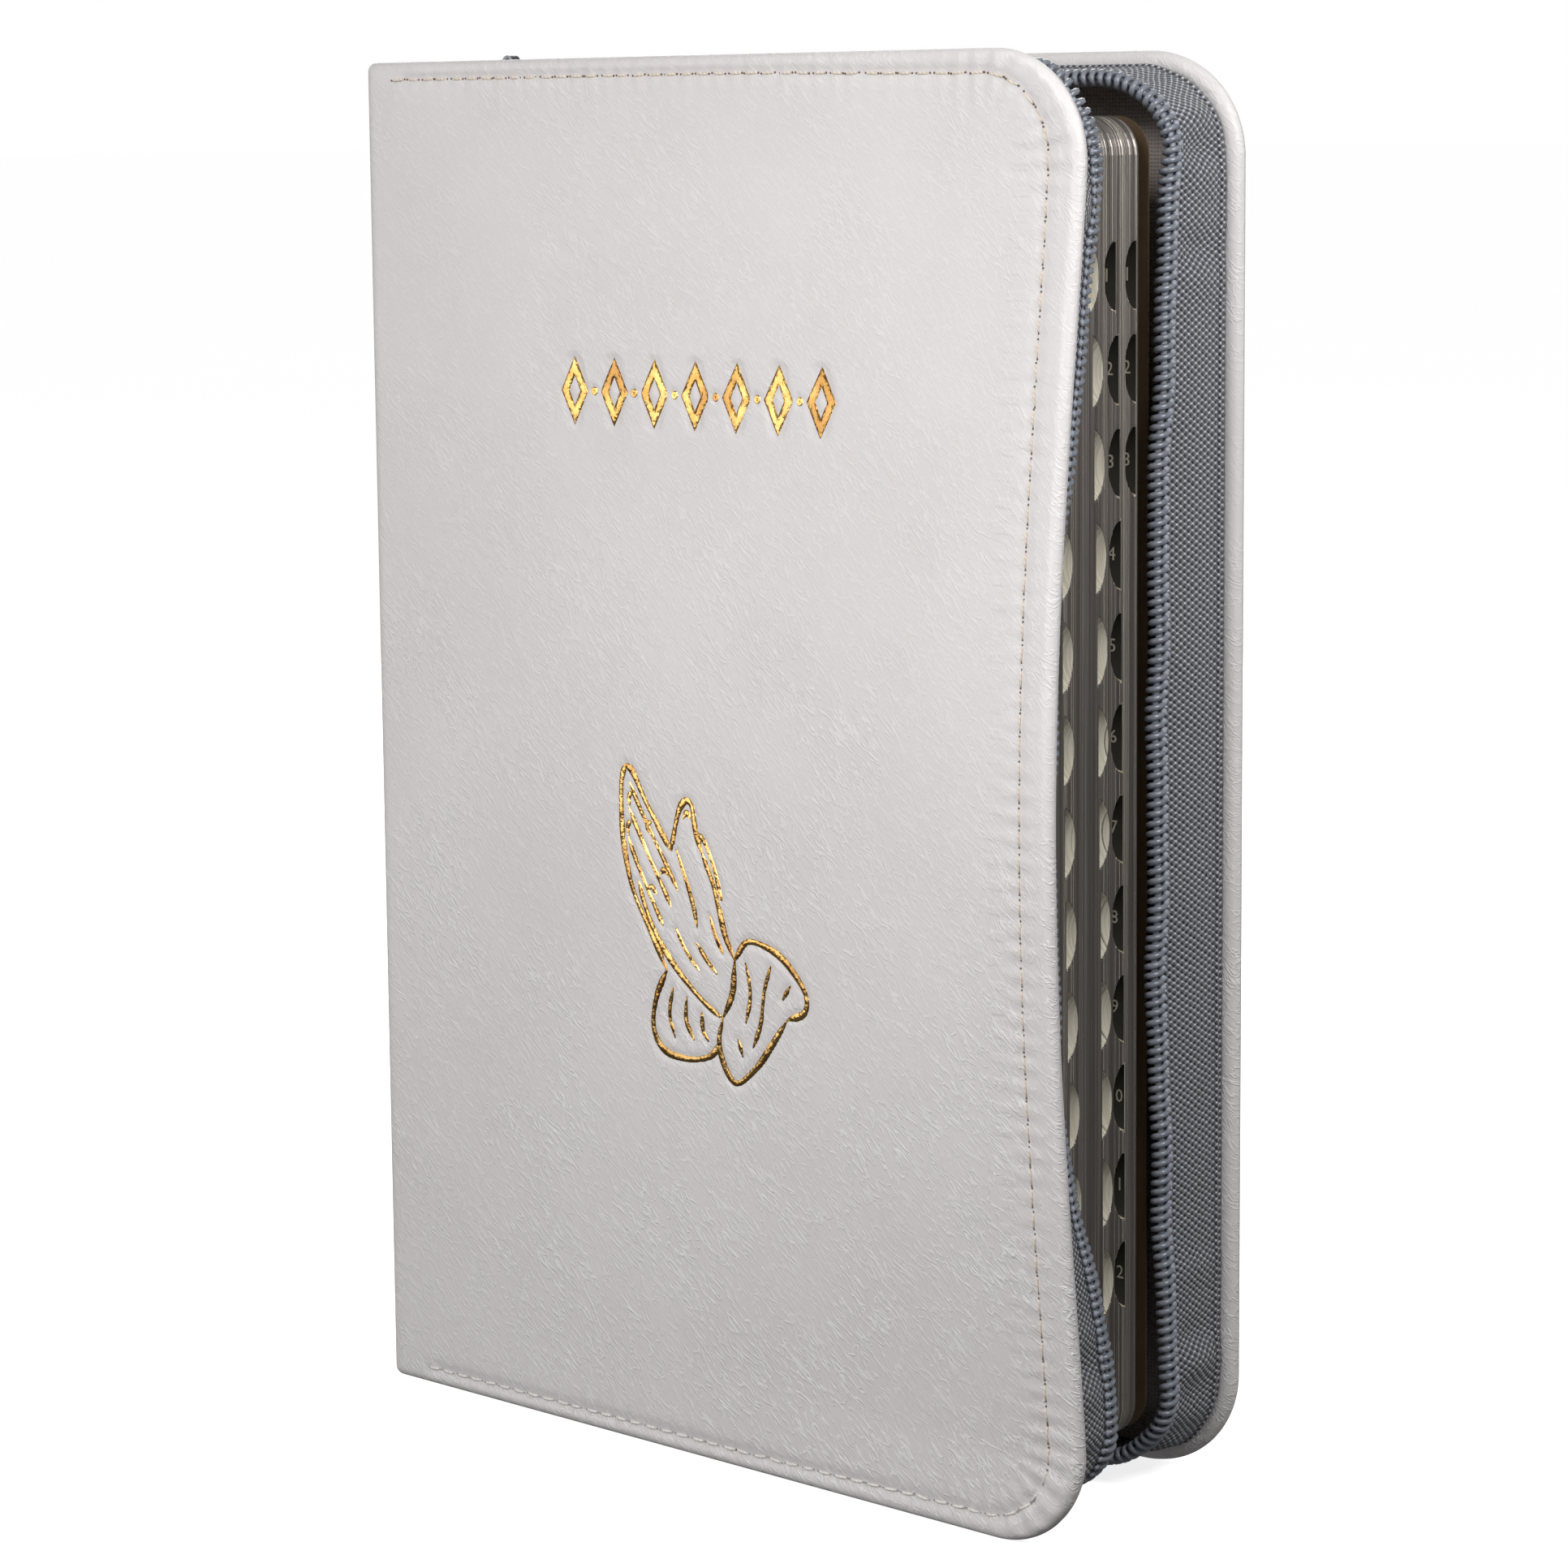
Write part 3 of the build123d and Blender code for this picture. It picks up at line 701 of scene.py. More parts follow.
def hands_bands():
    """Line drawing of two hands laid together above their cuffs."""
    outlines = [
        # backs of the fingers, from the wrist up, and down their front edge
        [(57.5, 68.5), (54.5, 73.5), (51.2, 79), (49.6, 85), (49.2, 90.5), (49.4, 94.2), (50.2, 96.3)],
        [(50.2, 96.3), (51.6, 95.2), (53.8, 91.8), (56.6, 88), (58.8, 85.2)],
        # heel of the near hand and the two thumbs
        [(52.4, 80.2), (53.6, 76.8), (56, 72.6), (59.8, 68.6), (64.2, 65.2), (68, 63.2)],
        [(58.8, 85.2), (59.6, 88.2), (60.6, 91.2), (61.9, 92.4), (63, 91.6), (63.6, 88.6), (64.8, 85.4)],
        [(64.8, 85.4), (66.6, 82), (67.8, 78.4), (68.9, 74.8), (70.6, 71.6)],
        # wrist and right cuff
        [(68, 63.2), (70, 67), (70.6, 71.6)],
        [(70.6, 71.6), (73, 74.4), (76.6, 74.2), (80.2, 72.6), (83.6, 69), (83.4, 66.2), (80.2, 64.8)],
        [(80.2, 64.8), (77.4, 61.2), (74.2, 57.4), (70.4, 54.6), (68.2, 56.4), (67.2, 59.8), (68, 63.2)],
        # left cuff
        [(57.5, 68.5), (55.4, 64.6), (54.6, 60.2), (56.6, 57.2), (61.2, 56.6), (65.4, 57.6), (67.4, 59.8)],
    ]
    details = [
        # lines between the fingers, with their tips
        [(50.9, 93.8), (53, 90.2), (55.5, 86.5), (58.2, 82.6), (60, 79.8)],
        [(50.6, 90.4), (52.6, 87), (54.8, 83.4), (57.2, 79.8), (58.6, 77.4)],
        [(50.4, 86.2), (52, 83), (53.9, 79.6), (55.9, 76.4), (57, 74.6)],
        [(51.2, 92.6), (50.7, 91.6), (50.9, 90.6)],
        [(51.0, 88.6), (50.4, 87.6), (50.6, 86.4)],
        [(55.2, 89.0), (54.3, 88.2), (54.6, 87.2)],
        [(56.6, 81.8), (57.4, 82.4), (58.3, 81.6)],
        [(54.0, 79.2), (54.9, 79.8), (55.8, 78.8)],
        # thumbs
        [(59.8, 85.6), (61.4, 81.9), (62.9, 78.2), (63.6, 75.2)],
        [(61.2, 89.8), (61.9, 90.8), (62.6, 90.0)],
        [(63.9, 88.2), (65.4, 87), (67.2, 83.4), (68.4, 79.4)],
        # palm
        [(59.4, 74.6), (61.2, 71.8), (63.8, 69.2)],
        [(63.4, 73), (65.4, 70.8), (67.2, 69.2)],
        [(66.0, 77.2), (67.0, 74.6), (68.4, 72.2)],
        # folds of the right cuff
        [(72.6, 71.6), (73.4, 67.4), (72.4, 63.2)],
        [(77.4, 71.8), (76, 68), (75.2, 63.6), (73.6, 60)],
        [(81, 69.6), (79.4, 67.4)],
        [(70.8, 60.8), (71.6, 58.4)],
        # folds of the left cuff
        [(58.6, 66.2), (57.8, 62.4), (58.8, 59.2)],
        [(61.2, 65.4), (61, 62), (62.4, 59.4)],
        [(64, 63.6), (64.2, 61), (65.2, 59.6)],
    ]
    return [line_band(k, OUTLINE) for k in outlines] + [line_band(k, DETAIL) for k in details]


ORNAMENT = ornament_bands()
HANDS = hands_bands()
FOIL_DEEP = 0.24                # how deep the foil is stamped below the skin
FOIL_PROUD = 0.12               # the foil's depth below the skin


def stamp_relief(x, z):
    """How deep the hot stamp presses the skin in round the foil."""
    relief = np.zeros(x.shape)
    pairs = [(a, b) for left, right, _ in ORNAMENT + HANDS for a, b in zip(left, right)]
    tree = tree_of([(a + b) / 2 for a, b in pairs])
    for i in np.flatnonzero((x > 34) & (x < 93) & (z > 48) & (z < 156)):
        _, found, gap = tree.find((x[i], z[i], 0))
        edge = math.dist(*pairs[found]) / 2 + 0.55
        if gap < edge:
            relief[i] = FOIL_DEEP * float(smooth((edge - gap) / 0.6))
    return relief


def make_foil(name, bands, node):
    """Foil as shallow bands with bevelled edges between their left and right lines."""
    parts = []
    section = ((0.0, 0.3), (0.0, FOIL_PROUD + 0.08), (0.22, FOIL_PROUD), (0.78, FOIL_PROUD),
               (1.0, FOIL_PROUD + 0.08), (1.0, 0.3))
    sides = len(section)
    for left, right, closed in bands:
        ribbon = []
        for share, depth in section:
            line = (1 - share) * left + share * right
            ribbon.append(on_front(line[:, 0], line[:, 1], depth))
        stacked = np.stack(ribbon, 1).reshape(-1, 3)
        faces = grid_faces(len(left), sides, close_rows=closed, close_columns=True)
        if not closed:
            last = sides * len(left)
            faces += [tuple(reversed(range(sides))), tuple(range(last - sides, last))]
        parts.append((list(stacked), faces))
    foil = make_object(name, *joined(parts), FOIL, crease=math.radians(25.0))
    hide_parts(node)
    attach(foil, "front_cover")


# ------------------------------------------------------------------ cover leather
CAP_CREASE = math.radians(60.0)


def spaced(*stops):
    """Grid lines through (start, end, step) stretches."""
    lines = [np.linspace(a, b, max(2, int(round((b - a) / step)) + 1))[:-1] for a, b, step in stops]
    return np.concatenate(lines + [[stops[-1][1]]])


def edge_lines(length=6.0, count=13):
    """Insets that crowd towards a rolled edge."""
    return length * (np.arange(count + 1) / count) ** 2


INNER_REACH = 9.0               # how far the turned-in leather reaches under the lining
INNER_PITCH = 6.0


def filled_outline(xs, zs):
    """Triangles over a closed outline on a cover, and the grid of points added inside it so that the
    sheet can follow the cover's bow."""
    grid_x, grid_z = np.meshgrid(np.arange(xs.min() + INNER_PITCH, xs.max(), INNER_PITCH),
                                 np.arange(zs.min() + INNER_PITCH, zs.max(), INNER_PITCH), indexing="ij")
    inside = edge_distance(grid_x, grid_z) > INNER_REACH + 0.3 * INNER_PITCH
    grid_x, grid_z = grid_x[inside], grid_z[inside]
    flat = [Vector(p) for p in zip(np.concatenate([xs, grid_x]), np.concatenate([zs, grid_z]))]
    count = len(xs)
    outline = [(i, (i + 1) % count) for i in range(count)]
    found = delaunay_2d_cdt(flat, outline, [], 1, 0.001)
    triangles, sources = found[2], found[3]
    return grid_x, grid_z, [tuple(sources[i][0] for i in triangle) for triangle in triangles]


def make_cover_leather(side, spot, across, up, relief):
    """Skin of one cover: a closed padded shell with a rolled edge and a turned-in rim."""
    xs = np.concatenate([across, W - edge_lines()[::-1][1:]])
    zs = np.concatenate([edge_lines(), up[1:], H - edge_lines()[::-1][1:]])
    x, z = (a.ravel() for a in np.meshgrid(xs, zs, indexing="ij"))
    x, z = round_corners(x, z)
    inside = edge_distance(x, z)
    depth = edge_round(inside) + relief(x, z) * smooth(inside / 1.2)
    skin = spot(x, z, depth)
    rows, columns = len(xs), len(zs)
    index = np.arange(rows * columns).reshape(rows, columns)
    loop = grid_rim(index)
    lx, lz = x[loop], z[loop]
    on_joint = np.arange(len(loop)) >= len(loop) - (columns - 2)
    nx = np.maximum(lx - (W - CORNER_RADIUS), 0.0)
    nz = lz - np.clip(lz, CORNER_RADIUS, H - CORNER_RADIUS)
    size = np.maximum(np.hypot(nx, nz), 1e-9)
    nx, nz = nx / size, nz / size
    rings = []
    radius = THICK / 2
    for angle in (30, 60, 90):
        a = math.radians(angle)
        rings.append((radius * (1 - math.cos(a)), radius * (1 + math.sin(a))))
    rings += [(1.9, THICK), (2.3, THICK - 0.12), (2.6, THICK - 0.5), (INNER_REACH, THICK - 0.6)]
    points = [skin]
    for inset, deep in rings:
        rx = np.where(on_joint, lx, lx - nx * inset)
        rz = np.where(on_joint, np.clip(lz, inset, H - inset), lz - nz * inset)
        points.append(spot(rx, rz, deep))
    faces = [tuple(reversed(f)) for f in grid_faces(rows, columns)]
    previous = loop
    for k in range(len(rings)):
        ring = rows * columns + k * len(loop) + np.arange(len(loop))
        for i in range(len(loop)):
            j = (i + 1) % len(loop)
            faces.append((previous[i], previous[j], ring[j], ring[i]))
        previous = ring
    inner_x, inner_z, triangles = filled_outline(rx, rz)
    points.append(spot(inner_x, inner_z, rings[-1][1]))
    faces += [tuple(int(previous[0]) + i for i in triangle) for triangle in triangles]
    leather = make_object(f"{side}_leather", np.vstack(points), faces, LEATHER, crease=CAP_CREASE)
    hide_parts(f"{side}_cover_leather", f"{side}_cover_board")
    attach(leather, f"{side}_cover")


def front_relief(x, z):
    return seam_relief(x, z) + stamp_relief(x, z)


def make_lining(side, spot, inset):
    """Cloth lining inside a cover, a little padded at its edge."""
    xs, zs = spaced((JOINT_AT - 2.0, W - inset, 3.0)), spaced((inset, H - inset, 3.0))
    x, z = (a.ravel() for a in np.meshgrid(xs, zs, indexing="ij"))
    shrink = (W - inset) / W
    rx, rz = round_corners(x / shrink, H / 2 + (z - H / 2) * H / (H - 2 * inset))
    x, z = rx * shrink, H / 2 + (rz - H / 2) * (H - 2 * inset) / H
    count = len(x)
    top, bottom = spot(x, z, THICK + 0.05), spot(x, z, THICK - 0.75)
    rows, columns = len(xs), len(zs)
    index = np.arange(count).reshape(rows, columns)
    loop = grid_rim(index)
    faces = grid_faces(rows, columns) + [tuple(reversed(f)) for f in grid_faces(rows, columns, start=count)]
    for i, j in zip(loop, np.roll(loop, -1)):
        faces.append((int(j), int(i), int(i) + count, int(j) + count))
    lining = make_object(f"{side}_lining", np.vstack([top, bottom]), faces, LINING)
    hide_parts(f"{side}_cover_lining")
    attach(lining, f"{side}_cover")


# ------------------------------------------------------------------ spine leather and joint strips
SPINE_CENTRE = np.array([24.2, 20.0])
SPINE_RADIUS = 29.5


def bezier(a, b, c, d, count):
    t = np.linspace(0, 1, count)[:, None]
    return (1 - t) ** 3 * a + 3 * (1 - t) ** 2 * t * b + 3 * (1 - t) * t * t * c + t ** 3 * d


def spine_arc(y_from, y_to, count):
    y = np.linspace(y_from, y_to, count)
    return np.stack([SPINE_CENTRE[0] - np.sqrt(SPINE_RADIUS ** 2 - (y - SPINE_CENTRE[1]) ** 2), y], -1)


def arc_way(point):
    """Direction of the spine's curve at a point, towards the back cover."""
    out = (point - SPINE_CENTRE) / SPINE_RADIUS
    return np.array([out[1], -out[0]])


def make_wrap(name, curve, node=None):
    """Leather bent along a plan curve, rolled over at head and tail."""
    way = unit(np.gradient(curve, axis=0))
    inward = np.stack([way[:, 1], -way[:, 0]], -1)
    zs = np.concatenate([edge_lines(3.0, 8), np.arange(4.0, H - 3.0, 1.5), H - edge_lines(3.0, 8)[::-1]])
    inside = np.minimum(zs, H - zs)
    loop_z = np.concatenate([zs, zs[::-1]])
    outer = edge_round(inside)
    inner = np.maximum(THICK - edge_round(inside), THICK / 2)
    loop_depth = np.concatenate([outer, inner[::-1]])
    points = []
    for spot, direction in zip(curve, inward):
        for z, depth in zip(loop_z, loop_depth):
            points.append((spot[0] + direction[0] * depth, spot[1] + direction[1] * depth, z))
    sides = len(loop_z)
    faces = [tuple(reversed(f)) for f in grid_faces(len(curve), sides, close_columns=True)]
    faces.append(tuple(range(sides)))
    faces.append(tuple(reversed(range((len(curve) - 1) * sides, len(curve) * sides))))
    wrap = make_object(name, points, faces, LEATHER, crease=CAP_CREASE)
    if node:
        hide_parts(node)
    return wrap


def make_spine():
    """Three runs of one continuous skin: two joint strips, and the spine between them."""
    front_edge = spine_arc(4.2, 4.2, 1)[0]
    back_edge = spine_arc(25.2, 25.2, 1)[0]
    spine = make_wrap("spine_skin", spine_arc(4.2, 25.2, 28), "spine_leather")
    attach(spine, "spine")
    fold = curve_through([(2.6, 0.0), (1.1, 0.02), (0.15, 0.3), (-0.33, 1.0), (-0.42, 2.0)], 5)
    joint = bezier(fold[-1], fold[-1] + (-0.02, 0.8), front_edge - 0.9 * arc_way(front_edge), front_edge, 8)
    front_curve = np.vstack([[JOINT_AT, 0.0], [4.4, 0.0], fold, joint[1:]])
    strip = make_wrap("front_joint_skin", front_curve)
    hinge = place(FRONT_HINGE)
    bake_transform(strip)
    back_turn = (BACK_ORIGIN + 4.2 * BACK_U)[:2]
    leaving, arriving = back_edge + 1.6 * arc_way(back_edge), back_turn - 2.6 * BACK_U[:2]
    joint = bezier(back_edge, leaving, arriving, back_turn, 16)
    ends = [(BACK_ORIGIN + s * BACK_U)[:2] for s in (5.1, JOINT_AT)]
    strip = make_wrap("back_joint_skin", np.vstack([joint, ends]))
    hinge = place(BACK_HINGE)
    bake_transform(strip)


# ------------------------------------------------------------------ zip tapes and coils
COIL_PITCH = 1.27
COIL_WIRE = 0.43                # radius of the nylon strand
COIL_TALL, COIL_DEEP = 1.15, 0.78   # half the coil's height and depth, to the strand's middle
COIL_ABOVE = 0.35               # the coil's middle stands this far past the tape's edge
COIL_END = 3.0                  # the tape runs on this far past the coil's ends
CLAMP_AT = 2.0                  # a clamp's middle, from the tape's end
CLAMP_HALF = 0.95
TAPE_THICK = 0.5
TAPE_WIDE = 11.0
TAPE_SEAT = THICK - 0.5         # the tape's foot lies this deep below a cover's outer face


def tape_path(inset, start):
    """The tape's seat on a cover: points, inward directions and lengths, from head round to tail."""
    radius = CORNER_RADIUS - inset
    x_end = W - CORNER_RADIUS
    run = np.arange(start, x_end, 1.0)
    turn = np.linspace(0, math.pi / 2, 24)
    head = np.stack([run, np.full_like(run, H - inset)], -1)
    head_in = np.tile([0.0, -1.0], (len(run), 1))
    corner_in = -np.stack([np.sin(turn), np.cos(turn)], -1)
    corner = np.array([x_end, H - CORNER_RADIUS]) - radius * corner_in
    fall = np.arange(H - CORNER_RADIUS - 1.0, CORNER_RADIUS, -1.0)
    side = np.stack([np.full_like(fall, W - inset), fall], -1)
    side_in = np.tile([-1.0, 0.0], (len(fall), 1))
    upper, upper_in = np.vstack([head, corner, side]), np.vstack([head_in, corner_in, side_in])
    flip = np.array([1.0, -1.0])
    below = np.vstack([head, corner])[::-1] * flip + (0, H)
    below_in = np.vstack([head_in, corner_in])[::-1] * flip
    points, inward = np.vstack([upper, below]), np.vstack([upper_in, below_in])
    return points, inward, run_length(points)


def make_zip(side, spot, inset, start, leans):
    """Woven tape with its sewn selvedge, and nylon coil, of one cover. leans gives, for lengths along the
    tape, how far the tape's free edge hangs inwards and how high it stands."""
    points, inward, length = tape_path(inset, start)
    fine = np.arange(0, length[-1], 0.8)
    base = at_length(points, length, fine)
    inward = unit(at_length(inward, length, fine))
    lean, stand = leans(base)
    wobble = 0.18 * np.sin(fine / 5.3) + 0.12 * np.sin(fine / 2.7 + 1.0)
    lean = lean + wobble
    off_middle = np.abs(base[:, 1] - H / 2)
    near_corner = smooth((base[:, 0] - (W - 15.0)) / 6.0) * smooth((off_middle - (H / 2 - 38.0)) / 18.0)
    folds = near_corner * (0.55 * np.sin(fine / 1.9) + 0.35 * np.sin(fine / 1.1 + 0.7))
    steps = np.linspace(0, 1, 9)
    rows = []
    for t in steps:
        inwards = lean * (0.25 * t + 0.75 * t * t) + folds * math.sin(math.pi * t) ** 1.5
        height = stand * (1.15 * t - 0.15 * t * t)
        flat = base + inward * inwards[:, None]
        rows.append(spot(flat[:, 0], flat[:, 1], TAPE_SEAT + height))
    sheet = np.stack(rows, 1)
    along = np.gradient(sheet, axis=0)
    upward = np.gradient(sheet, axis=1)
    normal = unit(np.cross(along, upward))
    loops, uvs = [], []
    there = range(len(steps))
    for face, order in ((1, there), (-1, reversed(there))):
        for k in order:
            loops.append(sheet[:, k] + face * normal[:, k] * TAPE_THICK / 2)
            uvs.append(np.stack([fine, np.full_like(fine, steps[k] * TAPE_WIDE)], -1))
    ring = np.stack(loops, 1)
    sides = ring.shape[1]
    faces = grid_faces(len(fine), sides, close_columns=True)
    faces += [tuple(reversed(range(sides))), tuple(range((len(fine) - 1) * sides, len(fine) * sides))]
    tape = make_object(f"{side}_tape", ring.reshape(-1, 3), faces, TAPE, uvs=np.stack(uvs, 1).reshape(-1, 2))
    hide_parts(f"{side}_zip_tape")
    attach(tape, f"{side}_cover")
    rib = ellipse(0.42, 0.42, 8)
    rib_points, rib_faces = tube(sheet[:, 1] - 0.2 * normal[:, 1], normal[:, 1], unit(upward[:, 1]), rib)
    rib_uvs = np.stack([np.repeat(fine, len(rib)), np.tile(np.arange(len(rib)) * 0.4, len(fine))], -1)
    selvedge = make_object(f"{side}_tape_selvedge", rib_points, rib_faces, TAPE, uvs=rib_uvs)
    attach(selvedge, f"{side}_cover")
    make_coil(side, sheet[:, -1], upward[:, -1], normal[:, -1])


def bead(centre, up, out, ahead, reach):
    """A small rounded stitch: points and faces."""
    points = [centre - 0.45 * reach * ahead]
    for step, swell in ((-0.28, 0.75), (0.0, 1.0), (0.28, 0.75)):
        for a in np.linspace(0, 2 * math.pi, 6, endpoint=False):
            offset = 0.5 * math.cos(a) * up + 0.3 * math.sin(a) * out
            points.append(centre + reach * (step * ahead + swell * offset))
    points.append(centre + 0.45 * reach * ahead)
    faces = [(0, 1 + (i + 1) % 6, 1 + i) for i in range(6)] + grid_faces(3, 6, close_columns=True, start=1)
    faces += [(19, 13 + i, 13 + (i + 1) % 6) for i in range(6)]
    return points, faces


# The outline of the metal clamps that end a coil: up from the tape's edge, and out from its face.
CLAMP = [(1.6, 0.7), (1.3, 1.05), (-1.3, 1.05), (-1.6, 0.7),
         (-1.6, -0.7), (-1.3, -1.05), (1.3, -1.05), (1.6, -0.7)]


def make_coil(side, edge, upward, normal):
    """One nylon strand wound round the tape's free edge, a loop every COIL_PITCH, over a cord, and the
    stitches that hold it to the tape on both faces."""
    upward = unit(upward)
    length = run_length(edge)
    steps = 14
    wound = np.arange(COIL_END, length[-1] - COIL_END, COIL_PITCH / steps)
    centre, up, out = (at_length(a, length, wound) for a in (edge, upward, normal))
    angle = 2 * math.pi * wound / COIL_PITCH
    lift = np.cos(angle)
    height, sway = COIL_ABOVE + COIL_TALL * lift, COIL_DEEP * np.sin(angle)
    strand = centre + up * height[:, None] + out * sway[:, None]
    ahead = unit(np.gradient(strand, axis=0))
    first = unit(np.cross(ahead, up * lift[:, None] + out * np.sin(angle)[:, None]))
    second = np.cross(ahead, first)
    wire = ellipse(COIL_WIRE, COIL_WIRE, 6)
    coil = make_object(f"{side}_coil", *tube(strand, first, second, wire), COIL)
    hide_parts(f"{side}_zip_coil")
    parts = []
    for middle in np.arange(COIL_END, length[-1] - COIL_END, COIL_PITCH):
        spot, up, out = (at_length(a, length, middle) for a in (edge, upward, normal))
        ahead = unit(np.cross(out, up))
        for face in (-1, 1):
            parts.append(bead(spot - 0.75 * up + 0.5 * face * out, up, out, ahead, 1.15))
    parts.append(tube(edge + COIL_ABOVE * upward, upward, normal, ellipse(0.5, 0.34, 8)))
    sewing = make_object(f"{side}_coil_sewing", *joined(parts), COIL_THREAD)
    clamps = []
    for middle in (CLAMP_AT, length[-1] - CLAMP_AT):
        spot, up, out = (at_length(a, length, middle) for a in (edge, upward, normal))
        ahead = unit(np.cross(out, up))
        ends = [spot + COIL_ABOVE * up + half * ahead for half in (-CLAMP_HALF, CLAMP_HALF)]
        clamps.append(tube(ends, [up, up], [out, out], CLAMP))
    stops = make_object(f"{side}_stops", *joined(clamps), METAL, smooth_faces=False)
    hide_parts(f"{side}_zip_stops")
    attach(stops, f"{side}_cover")
    for piece in (coil, sewing):
        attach(piece, f"{side}_cover")


def front_leans(base):
    """The front tape stands up at the tail, tucks in behind the cover's edge further up, and bulges out
    round the head corner, where its coil shows past the leather."""
    z = base[:, 1]
    heights = [14, 24, 32, 42, 55, 120, 135, 150, 165, 180]
    tip_in = [0.5, 0.5, 0.9, 1.7, 2.2, 2.2, 1.9, 1.5, 1.4, 1.3]
    tip_up = [10.8, 10.8, 9.8, 7.6, 6.2, 6.2, 6.6, 7.6, 8.2, 8.4]
    on_side = smooth((base[:, 0] - (W - 16.0)) / 8.0)
    lean = np.interp(z, heights, tip_in) * on_side + 0.8 * (1 - on_side)
    stand = np.interp(z, heights, tip_up) * on_side + 9.6 * (1 - on_side)
    head_corner = smooth((base[:, 0] - (W - 22.0)) / 9.0) * smooth((z - (H - 15.0)) / 9.0)
    lean = lean - 3.2 * head_corner
    stand = stand - 4.9 * head_corner
    blur = np.ones(9) / 9
    return tuple(np.convolve(np.pad(line, 4, "edge"), blur, "valid") for line in (lean, stand))


def back_leans(base):
    """The back tape leans in a little and is pulled taller at mid height, and stands up at the corners.
    When the book is shut it still enters the pages' fore edge a little at mid height."""
    z = base[:, 1]
    heights = [14, 40, 65, 130, 160, 180]
    lean = np.interp(z, heights, [1.4, 2.0, 2.6, 2.6, 2.0, 1.4])
    pulled = np.interp(z, heights, [0.0, 0.8, 1.6, 1.6, 0.8, 0.0])
    on_side = smooth((base[:, 0] - (W - 16.0)) / 8.0)
    lean = lean * on_side + 1.2 * (1 - on_side)
    return lean, np.sqrt(11.3 ** 2 - lean ** 2) + pulled * on_side


# ------------------------------------------------------------------ page block
PAGE_LOW, PAGE_HIGH = (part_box("page_section_1")[i].z / MM - CORNER[2] / MM for i in (0, 1))
BLOCK_FRONT = (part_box("page_section_1")[0].y - CORNER[1]) / MM
BLOCK_BACK = (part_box("page_section_4")[1].y - CORNER[1]) / MM
BLOCK_SPINE = (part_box("page_section_1")[0].x - CORNER[0]) / MM
FORE_FRONT = (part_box("page_section_1")[1].x - CORNER[0]) / MM
FORE_BACK = FORE_FRONT - 2.0
PAGE_CORNER = 5.0
NOTCH_RADIUS = 4.65
NOTCH_DEPTH = 3.9
NOTCH_SLOPE = 2.7               # thickness of pages that one thumb notch slopes through
NOTCH_PITCH = 11.95
TOP_NOTCH = 163.2               # height of the first row's middle
LAST_ROW = 11

# A column of thumb notches: depths of its first and last label page, the power by which the depth
# grows down the rows, which way the notches slope (+1 to the back), and the number of rows.
COLUMNS = (
    (6.1, 9.0, 2.0, 1, 12),
    (12.5, 16.4, 0.55, 1, 12),
    (19.2, 21.9, 0.55, -1, 12),
    (24.2, 24.2, 1.0, -1, 3),
)


def fore_edge(depth):
    share = (depth - BLOCK_FRONT) / (BLOCK_BACK - BLOCK_FRONT)
    return FORE_FRONT + share * (FORE_BACK - FORE_FRONT)


def all_notches():
    """(label page depth, height, slope) of every thumb notch."""
    found = []
    for first, last, growth, slope, rows in COLUMNS:
        for row in range(rows):
            depth = first + (last - first) * (row / LAST_ROW) ** growth
            found.append((depth, TOP_NOTCH - NOTCH_PITCH * row, slope))
    return found


NOTCHES = all_notches()


def page_reach(y, z, ragged):
    """Where the paper ends at a depth and height, and how far a notch cuts in there, or -1 outside all."""
    plain = fore_edge(y)
    near_end = PAGE_CORNER - np.minimum(z - PAGE_LOW, PAGE_HIGH - z)
    over = np.clip(near_end, 0, PAGE_CORNER)
    plain = plain - (PAGE_CORNER - np.sqrt(np.maximum(PAGE_CORNER ** 2 - over ** 2, 0)))
    reach, cut = plain + ragged, np.full_like(plain, -1.0)
    for depth, height, slope in NOTCHES:
        along = (y - depth) * slope / NOTCH_SLOPE
        dz = np.abs(z - height)
        inside = (along >= 0) & (along <= 1) & (dz < NOTCH_RADIUS)
        middle = fore_edge(depth) + NOTCH_RADIUS - NOTCH_DEPTH + NOTCH_DEPTH * along
        scoop = middle - np.sqrt(np.maximum(NOTCH_RADIUS ** 2 - dz ** 2, 0))
        reach = np.where(inside & (scoop < reach), scoop, reach)
        cut = np.where(inside, np.maximum(cut, plain - scoop), cut)
    return reach, cut


